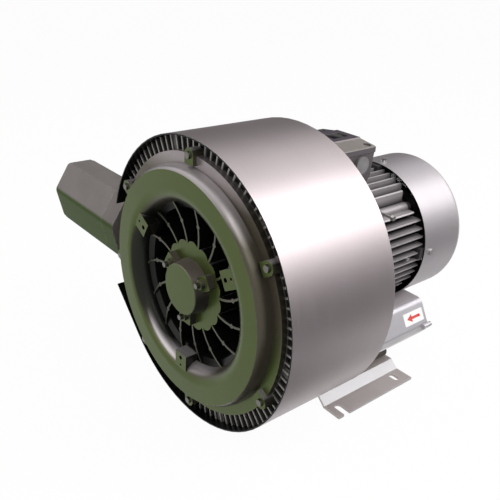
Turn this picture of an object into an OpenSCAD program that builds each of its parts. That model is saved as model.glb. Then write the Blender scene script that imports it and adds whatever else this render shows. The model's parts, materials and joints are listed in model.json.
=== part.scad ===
// Two-stage side-channel blower with its electric motor, foot plate and two silencers.
// Millimetres, +Z up, +Y from the front cover to the motor fan.
// Origin: on the floor, midway between the two closed foot slots, under the shaft axis.

/* [Layout] */
// Height of the drum's underside above the floor
drum_lift = 12; // [10:1:40]
// Distance from the closed foot slots forward to the front rim of the shroud
drum_front = 318; // [310:1:330]

/* [Side channel] */
// Distance from the centre line of the side channels out to the shroud
channel_to_shroud = 65; // [63:0.5:67]
// Radius of the round half of a side channel
channel_r = 19; // [17:0.5:20]
// Wall in front of the side channel
channel_wall = 8.5; // [7:0.5:10]
// Half width of the bulge that holds the side channel
torus_half = 22.5; // [22:0.5:24]
// Distance from the front rim back to the face where cover and housing meet
rim_to_joint = 12; // [11:0.5:14]
// Axial width of an impeller
impeller_w = 44; // [42:0.5:46]
// Axial gap on each face of an impeller
face_gap = 0.5; // [0.3:0.1:0.8]
// Axial length of the wall between the two stages
stage_web = 58.5; // [54:0.5:64]
// Number of vanes on an impeller
vane_count = 36; // [24:2:48]
// Thickness of a vane
vane_t = 2.6; // [2:0.1:3.5]

/* [Front cover] */
// Distance from the edge of the cover flange out to the shroud
flange_to_shroud = 22; // [20:0.5:24]
// Thickness of the cover flange
flange_t = 8; // [6:0.5:9]
// Number of curved ribs round the hub
rib_count = 15; // [11:2:19]
// Thickness of a curved rib
rib_t = 3; // [2:0.5:5]
// Angle that a rib sweeps from the hub to the rim
rib_sweep = 12.3; // [4:0.1:18]
// Radius of the scalloped hub
hub_r = 62.5; // [58:0.5:66]
// Depth of the hub face behind the front rim
hub_setback = 5; // [4:0.5:8]
// Depth of the recess floor behind the front rim
floor_setback = 33; // [31:0.5:34]
// Thickness of the recess floor
floor_t = 6; // [5:0.5:6.5]
// Distance from the pads' threaded holes out to the channel's centre line
pad_hole_inset = 28; // [25:0.5:29]
// Radius of the threaded hole in a pad
pad_hole_r = 3.4; // [2.5:0.1:4.2]
// Width of a pad
pad_w = 25; // [20:1:30]

/* [Shroud and fins] */
// Outer radius of the sheet shroud
shroud_r = 200; // [198:0.5:206]
// Thickness of the shroud sheet
shroud_t = 2; // [1:0.25:3]
// Axial length of the shroud
shroud_len = 172.5; // [168:0.5:176]
// Number of cooling fins round the housing
fin_count = 96; // [60:4:108]
// Thickness of a housing fin
fin_t = 2.6; // [1.6:0.1:3.4]

/* [Silencers] */
// Length of the outlet silencer body
outlet_len = 158; // [120:0.5:200]
// Length of the inlet silencer body
inlet_len = 176; // [150:1:185]
// Wall of a silencer body
silencer_wall = 3.5; // [2.5:0.25:5]
// Radius of the threaded port at the end of a silencer
port_r = 22.4; // [18:0.1:23]
// Thickness of a silencer end cap
cap_t = 10; // [8:0.5:14]

/* [Motor] */
// Length of the motor frame
frame_len = 155; // [150:1:160]
// Inner radius of the motor frame
frame_r = 78; // [74:0.5:78.5]
// Wall of the motor frame
frame_wall = 8; // [7:0.5:9]
// Radius over the motor fins
motor_fin_r = 105; // [100:0.5:107]
// Distance between neighbouring motor fins
motor_fin_pitch = 12; // [11:0.5:14]
// Outer radius of the fan cowl
cowl_r = 112; // [111:0.5:114]
// Length of the fan cowl
cowl_len = 97; // [92:1:110]
// Wall of the fan cowl
cowl_t = 2; // [1:0.25:2.5]

/* [Terminal box] */
// Width of the terminal box lid
box_w = 107; // [100:1:116]
// Length of the terminal box along the motor
box_len = 86; // [84:1:96]
// Height of the lid's plateau above the shaft axis
box_top = 169; // [165:1:180]

/* [Foot plate] */
// Overall width over the feet
foot_w = 274; // [266:1:290]
// Length of the foot plate along the motor
foot_len = 168; // [160:1:168]
// Thickness of the foot plate
foot_t = 4; // [3:0.5:6]
// Distance between the left and right foot slots
slot_gauge = 238; // [234:1:242]
// Distance from the closed slots to the open slots
slot_pitch = 128; // [118:1:134]
// Width of a foot slot
slot_w = 10; // [8:0.5:12]
// Overall length of a closed foot slot
slot_len = 18; // [14:0.5:22]

/* [Shaft and bearings] */
// Radius of the shaft at the impellers
shaft_r = 17; // [15.5:0.5:18]
// Bore radius of the front and rear bearings
bearing_bore_r = 15; // [13:0.5:15]
// Outer radius of the front and rear bearings
bearing_od_r = 31; // [29:0.5:32]
// Width of the front and rear bearings
bearing_w = 16; // [14:0.5:16]

/* [Hidden] */
$fn = 64;

// Clearances
fit = 0.05;
seat = 0.3;
eps = 0.02;

// Radii that follow the drum
shaft_h = shroud_r + drum_lift;
channel_pitch_r = shroud_r - channel_to_shroud;
flange_r = shroud_r - flange_to_shroud;
pad_hole_pitch_r = channel_pitch_r - pad_hole_inset;

// Stations along the shaft, from front to rear
rim_y = -drum_front;
joint_y = rim_y + rim_to_joint;
pocket_w = impeller_w + 2 * face_gap;
web_y = joint_y + pocket_w;
web_end_y = web_y + stage_web;
rear_joint_y = web_end_y + pocket_w;
mid_y = (joint_y + rear_joint_y) / 2;
torus_y = joint_y - channel_r - channel_wall;
hub_y = rim_y + hub_setback;
floor_y = rim_y + floor_setback;
floor_back_y = floor_y + floor_t;
flange_y = joint_y - flange_t;
motor_gap = 2;
motor_y = 2 * mid_y - torus_y + motor_gap;
frame_end_y = motor_y + frame_len;
cowl_overlap = 7;
cowl_y = frame_end_y + cowl_overlap;
cowl_end_y = cowl_y + cowl_len;

// Radii of the housing
pocket_r = channel_pitch_r + torus_half + 0.5;
shell_r = pocket_r + 8;
shroud_in_r = shroud_r - shroud_t;
fin_tip_r = shroud_in_r - seat;
land_r = channel_pitch_r - 26.5;
recess_r = land_r - 9.5;
torus_out_r = channel_pitch_r + torus_half;
lug_pitch_r = flange_r + 1;
lug_r = 9;
lug_angles = [31, 90, 149, 188, 231.5, 272, 331];
third_angles = [30, 150, 270];
screw_r = 3;
screw_reach = 14;
head_sink = 3;

// Geometry helpers
function unit(v) = v / norm(v);
function turn(v, a) = [v.x * cos(a) - v.y * sin(a), v.x * sin(a) + v.y * cos(a)];
function left_turn(a, b, c) = sign((b.x - a.x) * (c.y - b.y) - (b.y - a.y) * (c.x - b.x));
function corner(a, b, c, r, n) =
    let (u = unit(a - b), w = unit(c - b), half = acos(u * w) / 2)
    let (centre = b + unit(u + w) * r / sin(half), start = b + u * r / tan(half) - centre)
    [for (i = [0:n]) centre + turn(start, left_turn(a, b, c) * (180 - 2 * half) * i / n)];
function rounded(p, r, n = 5) =
    let (m = len(p))
    [for (i = [0:m - 1]) each corner(p[(i + m - 1) % m], p[i], p[(i + 1) % m], is_list(r) ? r[i] : r, n)];
function inward(a, b) = let (d = unit(b - a)) [-d.y, d.x];
function inset(p, t) =
    let (m = len(p))
    [for (i = [0:m - 1])
        let (n1 = inward(p[(i + m - 1) % m], p[i]), n2 = inward(p[i], p[(i + 1) % m]))
        p[i] + t * (n1 + n2) / (1 + n1 * n2)];
function mirrored(half) = concat(half, [for (i = [len(half) - 1:-1:0]) [-half[i].x, half[i].y]]);
function arc(c, r, a0, a1, n = 16) =
    [for (i = [0:n]) let (a = a0 + (a1 - a0) * i / n) c + r * [cos(a), sin(a)]];
function box_points(x0, x1, y0, y1) = [[x0, y0], [x1, y0], [x1, y1], [x0, y1]];

// Turns a profile of [radius, station] points round the shaft axis
module revolve(points, n = 128) {
    translate([0, 0, shaft_h]) rotate([-90, 0, 0]) rotate_extrude($fn = n) polygon(points);
}
// Extrudes a front view, centred on the shaft axis, from one station to another
module along_shaft(y0, y1) {
    translate([0, y1, shaft_h]) rotate([90, 0, 0]) linear_extrude(y1 - y0) children();
}
// Extrudes a section of [radius, station] points across an arm at an angle seen from the front
module across(angle, width) {
    translate([0, 0, shaft_h]) rotate([0, -angle, 0]) linear_extrude(width, center = true) children();
}
// Extrudes a side view of [y, z] points from one x to another, z counted from the shaft axis
module along_x(x0, x1) {
    translate([x0, 0, shaft_h]) rotate([90, 0, 90]) linear_extrude(x1 - x0) children();
}
// Round bar parallel to the shaft, at a radius and an angle seen from the front
module rod(pitch_r, angle, r, y0, y1, n = 32) {
    along_shaft(y0, y1) rotate(angle) translate([pitch_r, 0]) circle(r, $fn = n);
}
module tube(r_out, r_in, y0, y1, n = 96) {
    revolve([[r_in, y0], [r_out, y0], [r_out, y1], [r_in, y1]], n);
}
module mirror_stage() {
    translate([0, mid_y, 0]) mirror([0, 1, 0]) translate([0, -mid_y, 0]) children();
}
// Socket head screw along the shaft: the head's back face is at y, and the point is behind it
module socket_screw(pitch_r, angle, r, y, length) {
    head_h = 2 * r;
    difference() {
        union() {
            rod(pitch_r, angle, 1.6 * r, y - head_h, y);
            rod(pitch_r, angle, r - fit, y, y + length);
        }
        rod(pitch_r, angle, 0.95 * r, y - head_h - 1, y - head_h / 2, 6);
    }
}

// Front cover
recess_wall = [
    [channel_pitch_r - torus_half, torus_y + torus_half], [recess_r + 5, joint_y - 1], [recess_r, floor_y]
];
cover_hole_r = bearing_od_r + fit;
seal_r = 26;
module cover_shell() {
    back_wall_r = recess_r + 6;
    revolve(concat(
        [[cover_hole_r, hub_y], [cover_hole_r, hub_y + 1 + bearing_w], [24, hub_y + 1 + bearing_w],
         [24, hub_y + 4 + bearing_w], [seal_r + fit, hub_y + 4 + bearing_w],
         [seal_r + fit, floor_back_y], [back_wall_r, floor_back_y], [land_r, joint_y]],
        arc([channel_pitch_r, joint_y], channel_r, 180, 360),
        [[flange_r, joint_y], [flange_r, flange_y],
         [torus_out_r + 6, flange_y], [torus_out_r + 5.5, flange_y - 6],
         [torus_out_r + 4, torus_y + 6], [torus_out_r + 2, torus_y + 2], [torus_out_r, torus_y]],
        arc([channel_pitch_r, torus_y + torus_half], torus_half, 270, 180, 10),
        [recess_wall[1], recess_wall[2], [hub_r - 6, floor_y], [hub_r - 6, hub_y]]
    ));
}
hub_r_root = hub_r - 8;
function rib_angle(t) = rib_sweep * pow(t, 1.7);
module rib_outline(i) {
    span = channel_pitch_r - torus_half + 2 - hub_r_root;
    steps = [for (k = [0:6]) k / 6];
    angle = (i + 0.28) * 360 / rib_count;
    function side(s) = [for (t = steps) let (a = angle + rib_angle(t))
        (hub_r_root + span * t) * [cos(a), sin(a)] + s * rib_t / 2 * [-sin(a), cos(a)]];
    polygon(concat(side(1), [for (k = [len(steps) - 1:-1:0]) side(-1)[k]]));
    knot_t = 0.55;
    rotate(angle + rib_angle(knot_t)) translate([hub_r_root + span * knot_t, 0]) circle(rib_t, $fn = 24);
}
module ribs() {
    intersection() {
        along_shaft(hub_y, floor_y + 1) for (i = [0:rib_count - 1]) rib_outline(i);
        revolve(concat(
            [[hub_r_root - 1, hub_y - 1], [recess_wall[0].x + 1, hub_y - 1]],
            [for (p = recess_wall) p + [1.5, 0.8]],
            [[hub_r_root - 1, floor_y + 0.8]]
        ));
    }
}
pad_y = torus_y + 2.5;
module pads() {
    pad_in_r = recess_r + 1;
    for (a = third_angles) across(a, pad_w) polygon([
        [pad_in_r, pad_y], [channel_pitch_r - 8, pad_y], [channel_pitch_r - 8, pad_y + 3.5],
        [channel_pitch_r - 15, pad_y + 9], [channel_pitch_r - 22, pad_y + 15], [land_r, joint_y - 3],
        [recess_r + 6, joint_y - 1], [recess_r + 2, floor_y - 6], [pad_in_r, floor_y - 6]
    ]);
}
module lugs(y0, y1) {
    for (a = lug_angles) along_shaft(y0, y1) rotate(a) {
        translate([lug_pitch_r, 0]) circle(lug_r);
        polygon(box_points(lug_pitch_r - 12, lug_pitch_r, -lug_r, lug_r));
    }
}
lug_face_y = flange_y - 7;
module lug_hole(angle) {
    rod(lug_pitch_r, angle, screw_r + 0.4, lug_face_y - 1, joint_y + 1);
    rod(lug_pitch_r, angle, 1.6 * screw_r + seat, lug_face_y - 1, lug_face_y + head_sink);
}
module front_cover() {
    color([0.45, 0.47, 0.38]) difference() {
        union() {
            cover_shell();
            along_shaft(hub_y, floor_y + 1) difference() {
                for (i = [0:rib_count - 1])
                    rotate((i + 0.78) * 360 / rib_count) translate([hub_r - 13.5, 0]) circle(13.5, $fn = 48);
                circle(hub_r - 12);
            }
            ribs();
            pads();
            lugs(lug_face_y, joint_y);
        }
        for (a = lug_angles) lug_hole(a);
        for (a = third_angles) {
            rod(pad_hole_pitch_r, a, pad_hole_r, pad_y - 2, pad_y + 14);
            rod(pad_hole_pitch_r + 12, a, 2.2, pad_y - 2, pad_y + 2.5);
            rod(cap_pitch_r, a, cap_screw_r, hub_y - 1, hub_y + 16);
        }
    }
}

// Bearing cap
cap_pitch_r = 42;
cap_screw_r = 2.5;
cap_r = 38;
cap_front_y = torus_y + 0.5;
ear_y = cap_front_y + 4;
module bearing_cap() {
    color([0.48, 0.50, 0.40]) difference() {
        union() {
            revolve([[0, cap_front_y], [cap_r - 4, cap_front_y], [cap_r - 3, cap_front_y + 1], [cap_r, hub_y],
                [cover_hole_r - 2 * fit, hub_y], [cover_hole_r - 2 * fit, hub_y + 1 - fit],
                [bearing_od_r - 5, hub_y + 1 - fit], [bearing_od_r - 5, cap_front_y + 5],
                [0, cap_front_y + 5]], 96);
            for (a = third_angles) {
                rod(cap_pitch_r, a, 6.5, ear_y, hub_y);
                along_shaft(ear_y + 6, hub_y) rotate(a)
                    polygon(rounded(box_points(cap_r - 5, cap_r + 16, -10, 10), 2));
            }
        }
        for (a = third_angles) rod(cap_pitch_r, a, cap_screw_r + 0.3, ear_y - 1, hub_y + 1);
    }
}
module cap_screws() {
    color("silver") for (a = third_angles)
        socket_screw(cap_pitch_r, a, cap_screw_r, ear_y, hub_y - ear_y + 12);
}
module lug_screws() {
    head_y = lug_face_y + head_sink;
    color("silver") for (a = lug_angles)
        socket_screw(lug_pitch_r, a, screw_r, head_y, joint_y - head_y + screw_reach);
}
module cover_screws() lug_screws();
module housing_screws() mirror_stage() lug_screws();

// Middle housing with the two side channels, the fins and the outlet port
port_gap_top = 164.4;
tangent_angle = 226;
tangent_len = 84;
outlet_y = rim_y + 50;
outlet_z = 1;
outlet_face_x = -(shell_r + 22);
block_angles = [48, 108, 288, 348];
function fin_points(i) =
    let (a = i * 360 / fin_count, root = shell_r - 2, h = fin_t / 2, tip = fin_tip_r)
    let (ta = asin(h / tip), ra = asin(h / root))
    [root * [cos(a - ra), sin(a - ra)], tip * [cos(a - ta), sin(a - ta)],
     tip * [cos(a + ta), sin(a + ta)], root * [cos(a + ra), sin(a + ra)]];
function has_fin(a) = a < 157 || a > 205;
module fin_ring() {
    along_shaft(joint_y, rear_joint_y) difference() {
        polygon([for (i = [0:fin_count - 1]) let (a = i * 360 / fin_count)
            each has_fin(a) ? fin_points(i) : [(shell_r - 2) * [cos(a), sin(a)]]]);
        circle(shell_r - 4, $fn = 128);
    }
}
module middle_housing() {
    web_lip = 8;
    groove = [[122, 4], [140, 4], [150, 9], [160, 20], [168, 21]];
    color([0.55, 0.55, 0.56]) difference() {
        union() {
            revolve(concat(
                [[pocket_r, joint_y], [flange_r, joint_y], [flange_r, joint_y + flange_t],
                 [shell_r, joint_y + flange_t], [shell_r, rear_joint_y - flange_t],
                 [flange_r, rear_joint_y - flange_t], [flange_r, rear_joint_y], [pocket_r, rear_joint_y],
                 [pocket_r, web_end_y]],
                arc([channel_pitch_r, web_end_y], channel_r, 0, -180),
                [[land_r, web_end_y], [land_r, mid_y + web_lip / 2], [shaft_r + 24, mid_y + web_lip / 2],
                 [shaft_r + 24, mid_y + 12], [shaft_r + 5.3, mid_y + 12], [shaft_r + 5.3, mid_y - 12],
                 [shaft_r + 24, mid_y - 12], [shaft_r + 24, mid_y - web_lip / 2],
                 [land_r, mid_y - web_lip / 2], [land_r, web_y]],
                arc([channel_pitch_r, web_y], channel_r, 180, 0),
                [[pocket_r, web_y]]
            ));
            fin_ring();
            for (a = block_angles) along_shaft(joint_y + 2, rear_joint_y - 2) rotate(a)
                polygon(box_points(shell_r - 2, fin_tip_r - 0.4, -7, 7));
            for (a = lug_angles) rod(lug_pitch_r - 1, a, lug_r, joint_y, joint_y + 28);
            mirror_stage() for (a = lug_angles) rod(lug_pitch_r - 1, a, lug_r, joint_y, joint_y + 28);
            along_x(outlet_face_x, -(shell_r - 4)) translate([outlet_y, outlet_z])
                outlet_pad();
        }
        revolve(concat([for (p = groove) [p.x, mid_y - p.y]],
            [for (i = [len(groove) - 1:-1:0]) [groove[i].x, mid_y + groove[i].y]]));
        for (a = lug_angles) rod(lug_pitch_r, a, screw_r, joint_y - 1, joint_y + screw_reach + 1);
        mirror_stage() for (a = lug_angles)
            rod(lug_pitch_r, a, screw_r, joint_y - 1, joint_y + screw_reach + 1);
        along_x(outlet_face_x - 1, -(channel_pitch_r + 5)) translate([outlet_y, outlet_z]) circle(port_r);
        for (s = outlet_bolt_places)
            along_x(outlet_face_x - 1, outlet_face_x + 12) translate([outlet_y, outlet_z] + s) circle(3);
    }
}
outlet_bolt_places = [for (sy = [-1, 1], sz = [-1, 1]) [sy * 20, sz * 29]];
module outlet_pad() polygon(rounded(box_points(-33, 33, -36, 36), 8));

// Rear housing with the drive end bearing and the inlet port
drive_bearing_r = 40;
drive_bore_r = 20;
drive_bearing_w = 18;
drive_bearing_y = rear_joint_y - 10.5;
rear_seal_r = 31;
rear_floor_y = 2 * mid_y - floor_y;
rear_floor_back_y = 2 * mid_y - floor_back_y;
motor_flange_r = 92;
inlet_x = 65.5;
inlet_z = 3 - channel_pitch_r;
inlet_face_y = motor_y + 2;
leg_x = 62;
leg_y0 = rim_y + shroud_len + 2;
leg_y1 = motor_y;
leg_bolt_y = leg_y1 - 9;
module rear_housing() {
    bulge_y = 2 * mid_y - torus_y;
    color([0.42, 0.42, 0.43]) difference() {
        union() {
            revolve(concat(
                [[rear_seal_r + fit, rear_floor_back_y], [rear_seal_r + fit, drive_bearing_y - 3.5],
                 [drive_bore_r + 4, drive_bearing_y - 3.5], [drive_bore_r + 4, drive_bearing_y - 0.5],
                 [drive_bearing_r + fit, drive_bearing_y - 0.5], [drive_bearing_r + fit, motor_y],
                 [motor_flange_r, motor_y], [motor_flange_r, motor_y - 10], [hub_r, motor_y - 10],
                 [hub_r, rear_floor_y], [recess_r, rear_floor_y], [recess_r + 5, rear_joint_y + 1]],
                arc([channel_pitch_r, bulge_y - torus_half], torus_half, 180, 90, 10),
                [[torus_out_r, bulge_y], [torus_out_r + 4, bulge_y - 6],
                 [torus_out_r + 6, rear_joint_y + flange_t],
                 [flange_r, rear_joint_y + flange_t], [flange_r, rear_joint_y]],
                arc([channel_pitch_r, rear_joint_y], channel_r, 0, 180),
                [[land_r, rear_joint_y], [recess_r + 6, rear_floor_back_y]]
            ));
            for (i = [0:7]) along_shaft(rear_floor_y - 1, motor_y - 4) rotate(45 * i)
                polygon(box_points(hub_r - 2, recess_r + 3, -rib_t / 2, rib_t / 2));
            mirror_stage() lugs(lug_face_y, joint_y);
            along_shaft(rear_joint_y + flange_t, inlet_face_y) translate([inlet_x, inlet_z])
                inlet_pad();
            for (s = [-1, 1]) along_shaft(leg_y0, leg_y1)
                polygon(box_points(s * leg_x - 18, s * leg_x + 18, saddle_z, inlet_z - 20));
        }
        mirror_stage() for (a = lug_angles) lug_hole(a);
        along_shaft(rear_joint_y + channel_r - 6, inlet_face_y + 1)
            translate([inlet_x, inlet_z]) circle(port_r);
        for (a = motor_bolt_angles) rod(bolt_pitch_r, a, 3, motor_y - 9, motor_y + 1);
        for (s = inlet_bolt_places)
            along_shaft(inlet_face_y - 12, inlet_face_y + 1) translate([inlet_x, inlet_z] + s) circle(2.5);
        for (s = [-1, 1]) translate([s * leg_x, leg_bolt_y, saddle_z + shaft_h - 1]) cylinder(h = 20, r = 4);
    }
}
inlet_bolt_places = [for (s = [-1, 1]) [s * 34, 0]];
module inlet_pad() polygon(rounded(box_points(-40, 40, -26, 26), 6));

// Shroud: a rolled sheet that leaves the circle at the lower left and ends at the port gap
module shroud() {
    t_in = shroud_in_r;
    start = turn([shroud_r, 0], tangent_angle);
    along = turn([0, -1], tangent_angle);
    start_in = turn([t_in, 0], tangent_angle);
    n = 60;
    span = 360 + port_gap_top - tangent_angle;
    color([0.72, 0.72, 0.72]) along_shaft(rim_y, rim_y + shroud_len) polygon(concat(
        [for (i = [0:n]) turn([shroud_r, 0], tangent_angle + span * i / n)],
        [for (i = [n:-1:0]) turn([t_in, 0], tangent_angle + span * i / n)],
        [start_in + along * tangent_len, start + along * tangent_len]
    ));
}

// Shaft and the pieces that turn with it
hub1_y = floor_back_y + 1;
hub1_len = 32;
hub_spacer_y = hub1_y + hub1_len;
rear_hub_end_y = 2 * mid_y - hub1_y;
rotor_y = motor_y + 33;
rotor_len = 95;
rotor_bore_r = 24;
rear_bearing_y = frame_end_y - 7;
fan_y = frame_end_y + 38;
fan_len = 32;
fan_bore_r = 12.5;
nut_w = 9;
module shaft() {
    front = hub_y - nut_w - 1;
    color("lightsteelblue") difference() {
        revolve([[0, front], [bearing_bore_r - 1, front], [bearing_bore_r - fit, front + 1],
            [bearing_bore_r - fit, hub_y + 1 + bearing_w], [shaft_r - fit, hub_y + 1 + bearing_w],
            [shaft_r - fit, rear_hub_end_y], [drive_bore_r - fit, rear_hub_end_y],
            [drive_bore_r - fit, drive_bearing_y + drive_bearing_w],
            [rotor_bore_r - fit, drive_bearing_y + drive_bearing_w],
            [rotor_bore_r - fit, rotor_y + rotor_len + 12],
            [bearing_bore_r + 3, rotor_y + rotor_len + 12], [bearing_bore_r + 3, rear_bearing_y],
            [bearing_bore_r - fit, rear_bearing_y], [bearing_bore_r - fit, rear_bearing_y + bearing_w + 2],
            [fan_bore_r - fit, rear_bearing_y + bearing_w + 2], [fan_bore_r - fit, fan_y + fan_len + 4],
            [fan_bore_r - 1.5, fan_y + fan_len + 5], [0, fan_y + fan_len + 5]], 64);
        for (y = [hub1_y + 4, 2 * mid_y - hub1_y - hub1_len + 4]) key_block(y, 0, hub1_len - 8);
    }
}
key_w = 8;
module key_block(y, gap, length) {
    along_shaft(y, y + length)
        polygon(box_points(-key_w / 2 - gap, key_w / 2 + gap, shaft_r - 4, shaft_r + 3));
}
module impeller_keys() {
    color("gray") for (y = [hub1_y + 4, 2 * mid_y - hub1_y - hub1_len + 4])
        key_block(y, -fit, hub1_len - 8);
}
module impeller() {
    y0 = joint_y + face_gap;
    y1 = y0 + impeller_w;
    rim_in = land_r + 1;
    rim_out = pocket_r - 0.5;
    mid = (y0 + y1) / 2;
    web_a = hub1_y + 1.5;
    web_b = web_a + 6;
    hub_out = shaft_r + 13;
    groove_in_r = rim_in + 13;
    groove_out_r = rim_out - 9.5;
    difference() {
        union() {
            revolve(concat(
                [[shaft_r, hub1_y], [hub_out, hub1_y], [hub_out + 2, web_a], [rim_in, web_a],
                 [rim_in, min(mid + 5, web_a - 1)], [groove_in_r, mid + 1.5], [groove_in_r, mid - 1.5],
                 [rim_in, mid - 7], [rim_in, y0]],
                arc([channel_pitch_r, y0], channel_r, 180, 0),
                [[rim_out, y0], [rim_out, mid - 9], [groove_out_r, mid - 4], [groove_out_r, mid + 4],
                 [rim_out, mid + 9], [rim_out, y1]],
                arc([channel_pitch_r, y1], channel_r, 0, -180),
                [[rim_in, y1], [rim_in, web_b], [hub_out + 2, web_b], [hub_out, hub1_y + hub1_len],
                 [shaft_r, hub1_y + hub1_len]]
            ));
            for (i = [0:vane_count - 1]) along_shaft(y0, y1) rotate(i * 360 / vane_count)
                polygon(box_points(rim_in + 3, rim_out - 1, -vane_t / 2, vane_t / 2));
        }
        key_block(hub1_y - 1, 0, hub1_len + 2);
        for (a = third_angles) rod(70, a, 14, web_a - 1, web_b + 1);
    }
}
module front_impeller() color([0.75, 0.76, 0.78]) impeller();
module rear_impeller() color([0.75, 0.76, 0.78]) mirror_stage() impeller();
module seal_sleeve() color("silver")
    tube(shaft_r + 3, shaft_r, hub_y + 1 + bearing_w + fit, hub1_y - fit, 64);
module hub_spacer() color("silver")
    tube(shaft_r + 5, shaft_r, hub_spacer_y + fit, 2 * mid_y - hub_spacer_y - fit, 64);
module lock_nut() {
    y0 = hub_y - nut_w + 1;
    color("gray") difference() {
        tube(bearing_bore_r + 7, bearing_bore_r, y0, hub_y + 1 - fit, 64);
        for (a = [45, 135, 225, 315]) along_shaft(y0 - 1, y0 + 4) rotate(a)
            polygon(box_points(bearing_bore_r + 4, bearing_bore_r + 8, -2.5, 2.5));
    }
}
module shaft_seals() {
    front = hub_y + 5 + bearing_w;
    rear = drive_bearing_y - 12;
    color([0.15, 0.15, 0.16]) {
        tube(seal_r, shaft_r + 3.05, front, front + 8, 64);
        tube(rear_seal_r, drive_bore_r + 0.05, rear, rear + 8, 64);
    }
}

// Bearings: each has an inner ring, an outer ring and a row of balls
ball_gap = 0.15;
function race(r_in, r_out) = (r_in + r_out) / 2;
function ball(r_in, r_out) = (r_out - r_in) * 0.28;
module inner_ring(r_in, r_out, w, y) {
    m = race(r_in, r_out);
    b = ball(r_in, r_out);
    color("silver") difference() {
        tube(m - 0.6 * b, r_in, y, y + w, 64);
        revolve(arc([m, y + w / 2], b + ball_gap, 0, 360, 24), 64);
    }
}
module outer_ring(r_in, r_out, w, y) {
    m = race(r_in, r_out);
    b = ball(r_in, r_out);
    color("silver") difference() {
        tube(r_out, m + 0.6 * b, y, y + w, 64);
        revolve(arc([m, y + w / 2], b + ball_gap, 0, 360, 24), 64);
    }
}
module balls(r_in, r_out, w, y, count) {
    m = race(r_in, r_out);
    for (i = [0:count - 1]) translate([0, y + w / 2, shaft_h]) rotate([0, i * 360 / count, 0])
        translate([m, 0, 0]) sphere(ball(r_in, r_out), $fn = 32);
}
front_bearing_y = hub_y + 1;
module front_bearing_outer() outer_ring(bearing_bore_r, bearing_od_r, bearing_w, front_bearing_y);
module front_bearing_inner() inner_ring(bearing_bore_r, bearing_od_r, bearing_w, front_bearing_y);
module drive_bearing_outer() outer_ring(drive_bore_r, drive_bearing_r, drive_bearing_w, drive_bearing_y);
module drive_bearing_inner() inner_ring(drive_bore_r, drive_bearing_r, drive_bearing_w, drive_bearing_y);
module rear_bearing_outer() outer_ring(bearing_bore_r, bearing_od_r, bearing_w, rear_bearing_y);
module rear_bearing_inner() inner_ring(bearing_bore_r, bearing_od_r, bearing_w, rear_bearing_y);
module bearing_balls() {
    color("white") {
        balls(bearing_bore_r, bearing_od_r, bearing_w, front_bearing_y, 9);
        balls(drive_bore_r, drive_bearing_r, drive_bearing_w, drive_bearing_y, 9);
        balls(bearing_bore_r, bearing_od_r, bearing_w, rear_bearing_y, 9);
    }
}

// Motor
plate_t = 10;
motor_fin_t = 2.2;
bolt_pitch_r = 91;
motor_bolt_angles = [43, 137, 223, 317];
tube_y = motor_y + plate_t;
neck_w = 84;
box_y0 = motor_y + 1;
box_y1 = box_y0 + box_len;
box_floor = frame_r + 28;
bolt_boss_r = 8;
fin_overhang = 11;
fins_each_way = floor(60 / motor_fin_pitch);
// Straight fins that point to the four sides, as a front view inside and outside the frame
module motor_fins(in_r, first, last) {
    difference() {
        intersection() {
            circle(motor_fin_r, $fn = 128);
            for (side = [0:90:270], k = [first:last], s = [-1, 1])
                rotate(side) translate([0, s * k * motor_fin_pitch - motor_fin_t / 2])
                    square([motor_fin_r, motor_fin_t]);
        }
        circle(in_r, $fn = 128);
    }
}
module motor_frame() {
    out_r = frame_r + frame_wall;
    color([0.50, 0.48, 0.50]) difference() {
        union() {
            revolve([[rotor_bore_r + 2, motor_y], [motor_flange_r, motor_y], [motor_flange_r, tube_y],
                [out_r, tube_y], [out_r, frame_end_y], [frame_r, frame_end_y], [frame_r, tube_y],
                [rotor_bore_r + 2, tube_y]]);
            tube(drive_bearing_r - fit, drive_bearing_r - 7,
                drive_bearing_y + drive_bearing_w + fit, motor_y + 1, 64);
            along_shaft(tube_y + 4, frame_end_y) motor_fins(out_r - 1, 0, fins_each_way);
            along_shaft(frame_end_y - 1, frame_end_y + fin_overhang)
                motor_fins(motor_flange_r, 1, fins_each_way - 1);
            for (a = motor_bolt_angles) rod(bolt_pitch_r, a, bolt_boss_r, motor_y, frame_end_y);
            translate([-neck_w / 2, box_y0 + 16, shaft_h + frame_r + 2])
                cube([neck_w, box_len - 28, box_floor - frame_r - 2]);
        }
        along_shaft(tube_y, frame_end_y + 1) circle(frame_r, $fn = 128);
        for (a = motor_bolt_angles) rod(bolt_pitch_r, a, 3.2, motor_y - 1, frame_end_y + 1);
    }
}
module through_bolts() {
    color("silver") for (a = motor_bolt_angles) {
        rod(bolt_pitch_r, a, 3 - fit, motor_y - 8, frame_end_y + shield_t + 3);
        rod(bolt_pitch_r, a, 5.6, frame_end_y + shield_t + 2 * eps, frame_end_y + shield_t + 5, 6);
    }
}
module stator_core() color([0.35, 0.36, 0.38]) tube(frame_r - fit, 50.8, rotor_y, rotor_y + rotor_len);
module windings() {
    color([0.72, 0.40, 0.18]) {
        tube(frame_r - 5, 54, rotor_y - 20, rotor_y - eps, 64);
        tube(frame_r - 5, 54, rotor_y + rotor_len + eps, rotor_y + rotor_len + 18, 64);
    }
}
module rotor_core() color([0.45, 0.46, 0.48]) tube(50.3, rotor_bore_r, rotor_y, rotor_y + rotor_len);
module rotor_end_rings() {
    color([0.8, 0.8, 0.82]) {
        tube(48, 34, rotor_y - 10, rotor_y - eps, 64);
        tube(48, 34, rotor_y + rotor_len + eps, rotor_y + rotor_len + 10, 64);
    }
}
shield_t = 8;
cowl_lug_y = cowl_y + 15;
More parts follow.
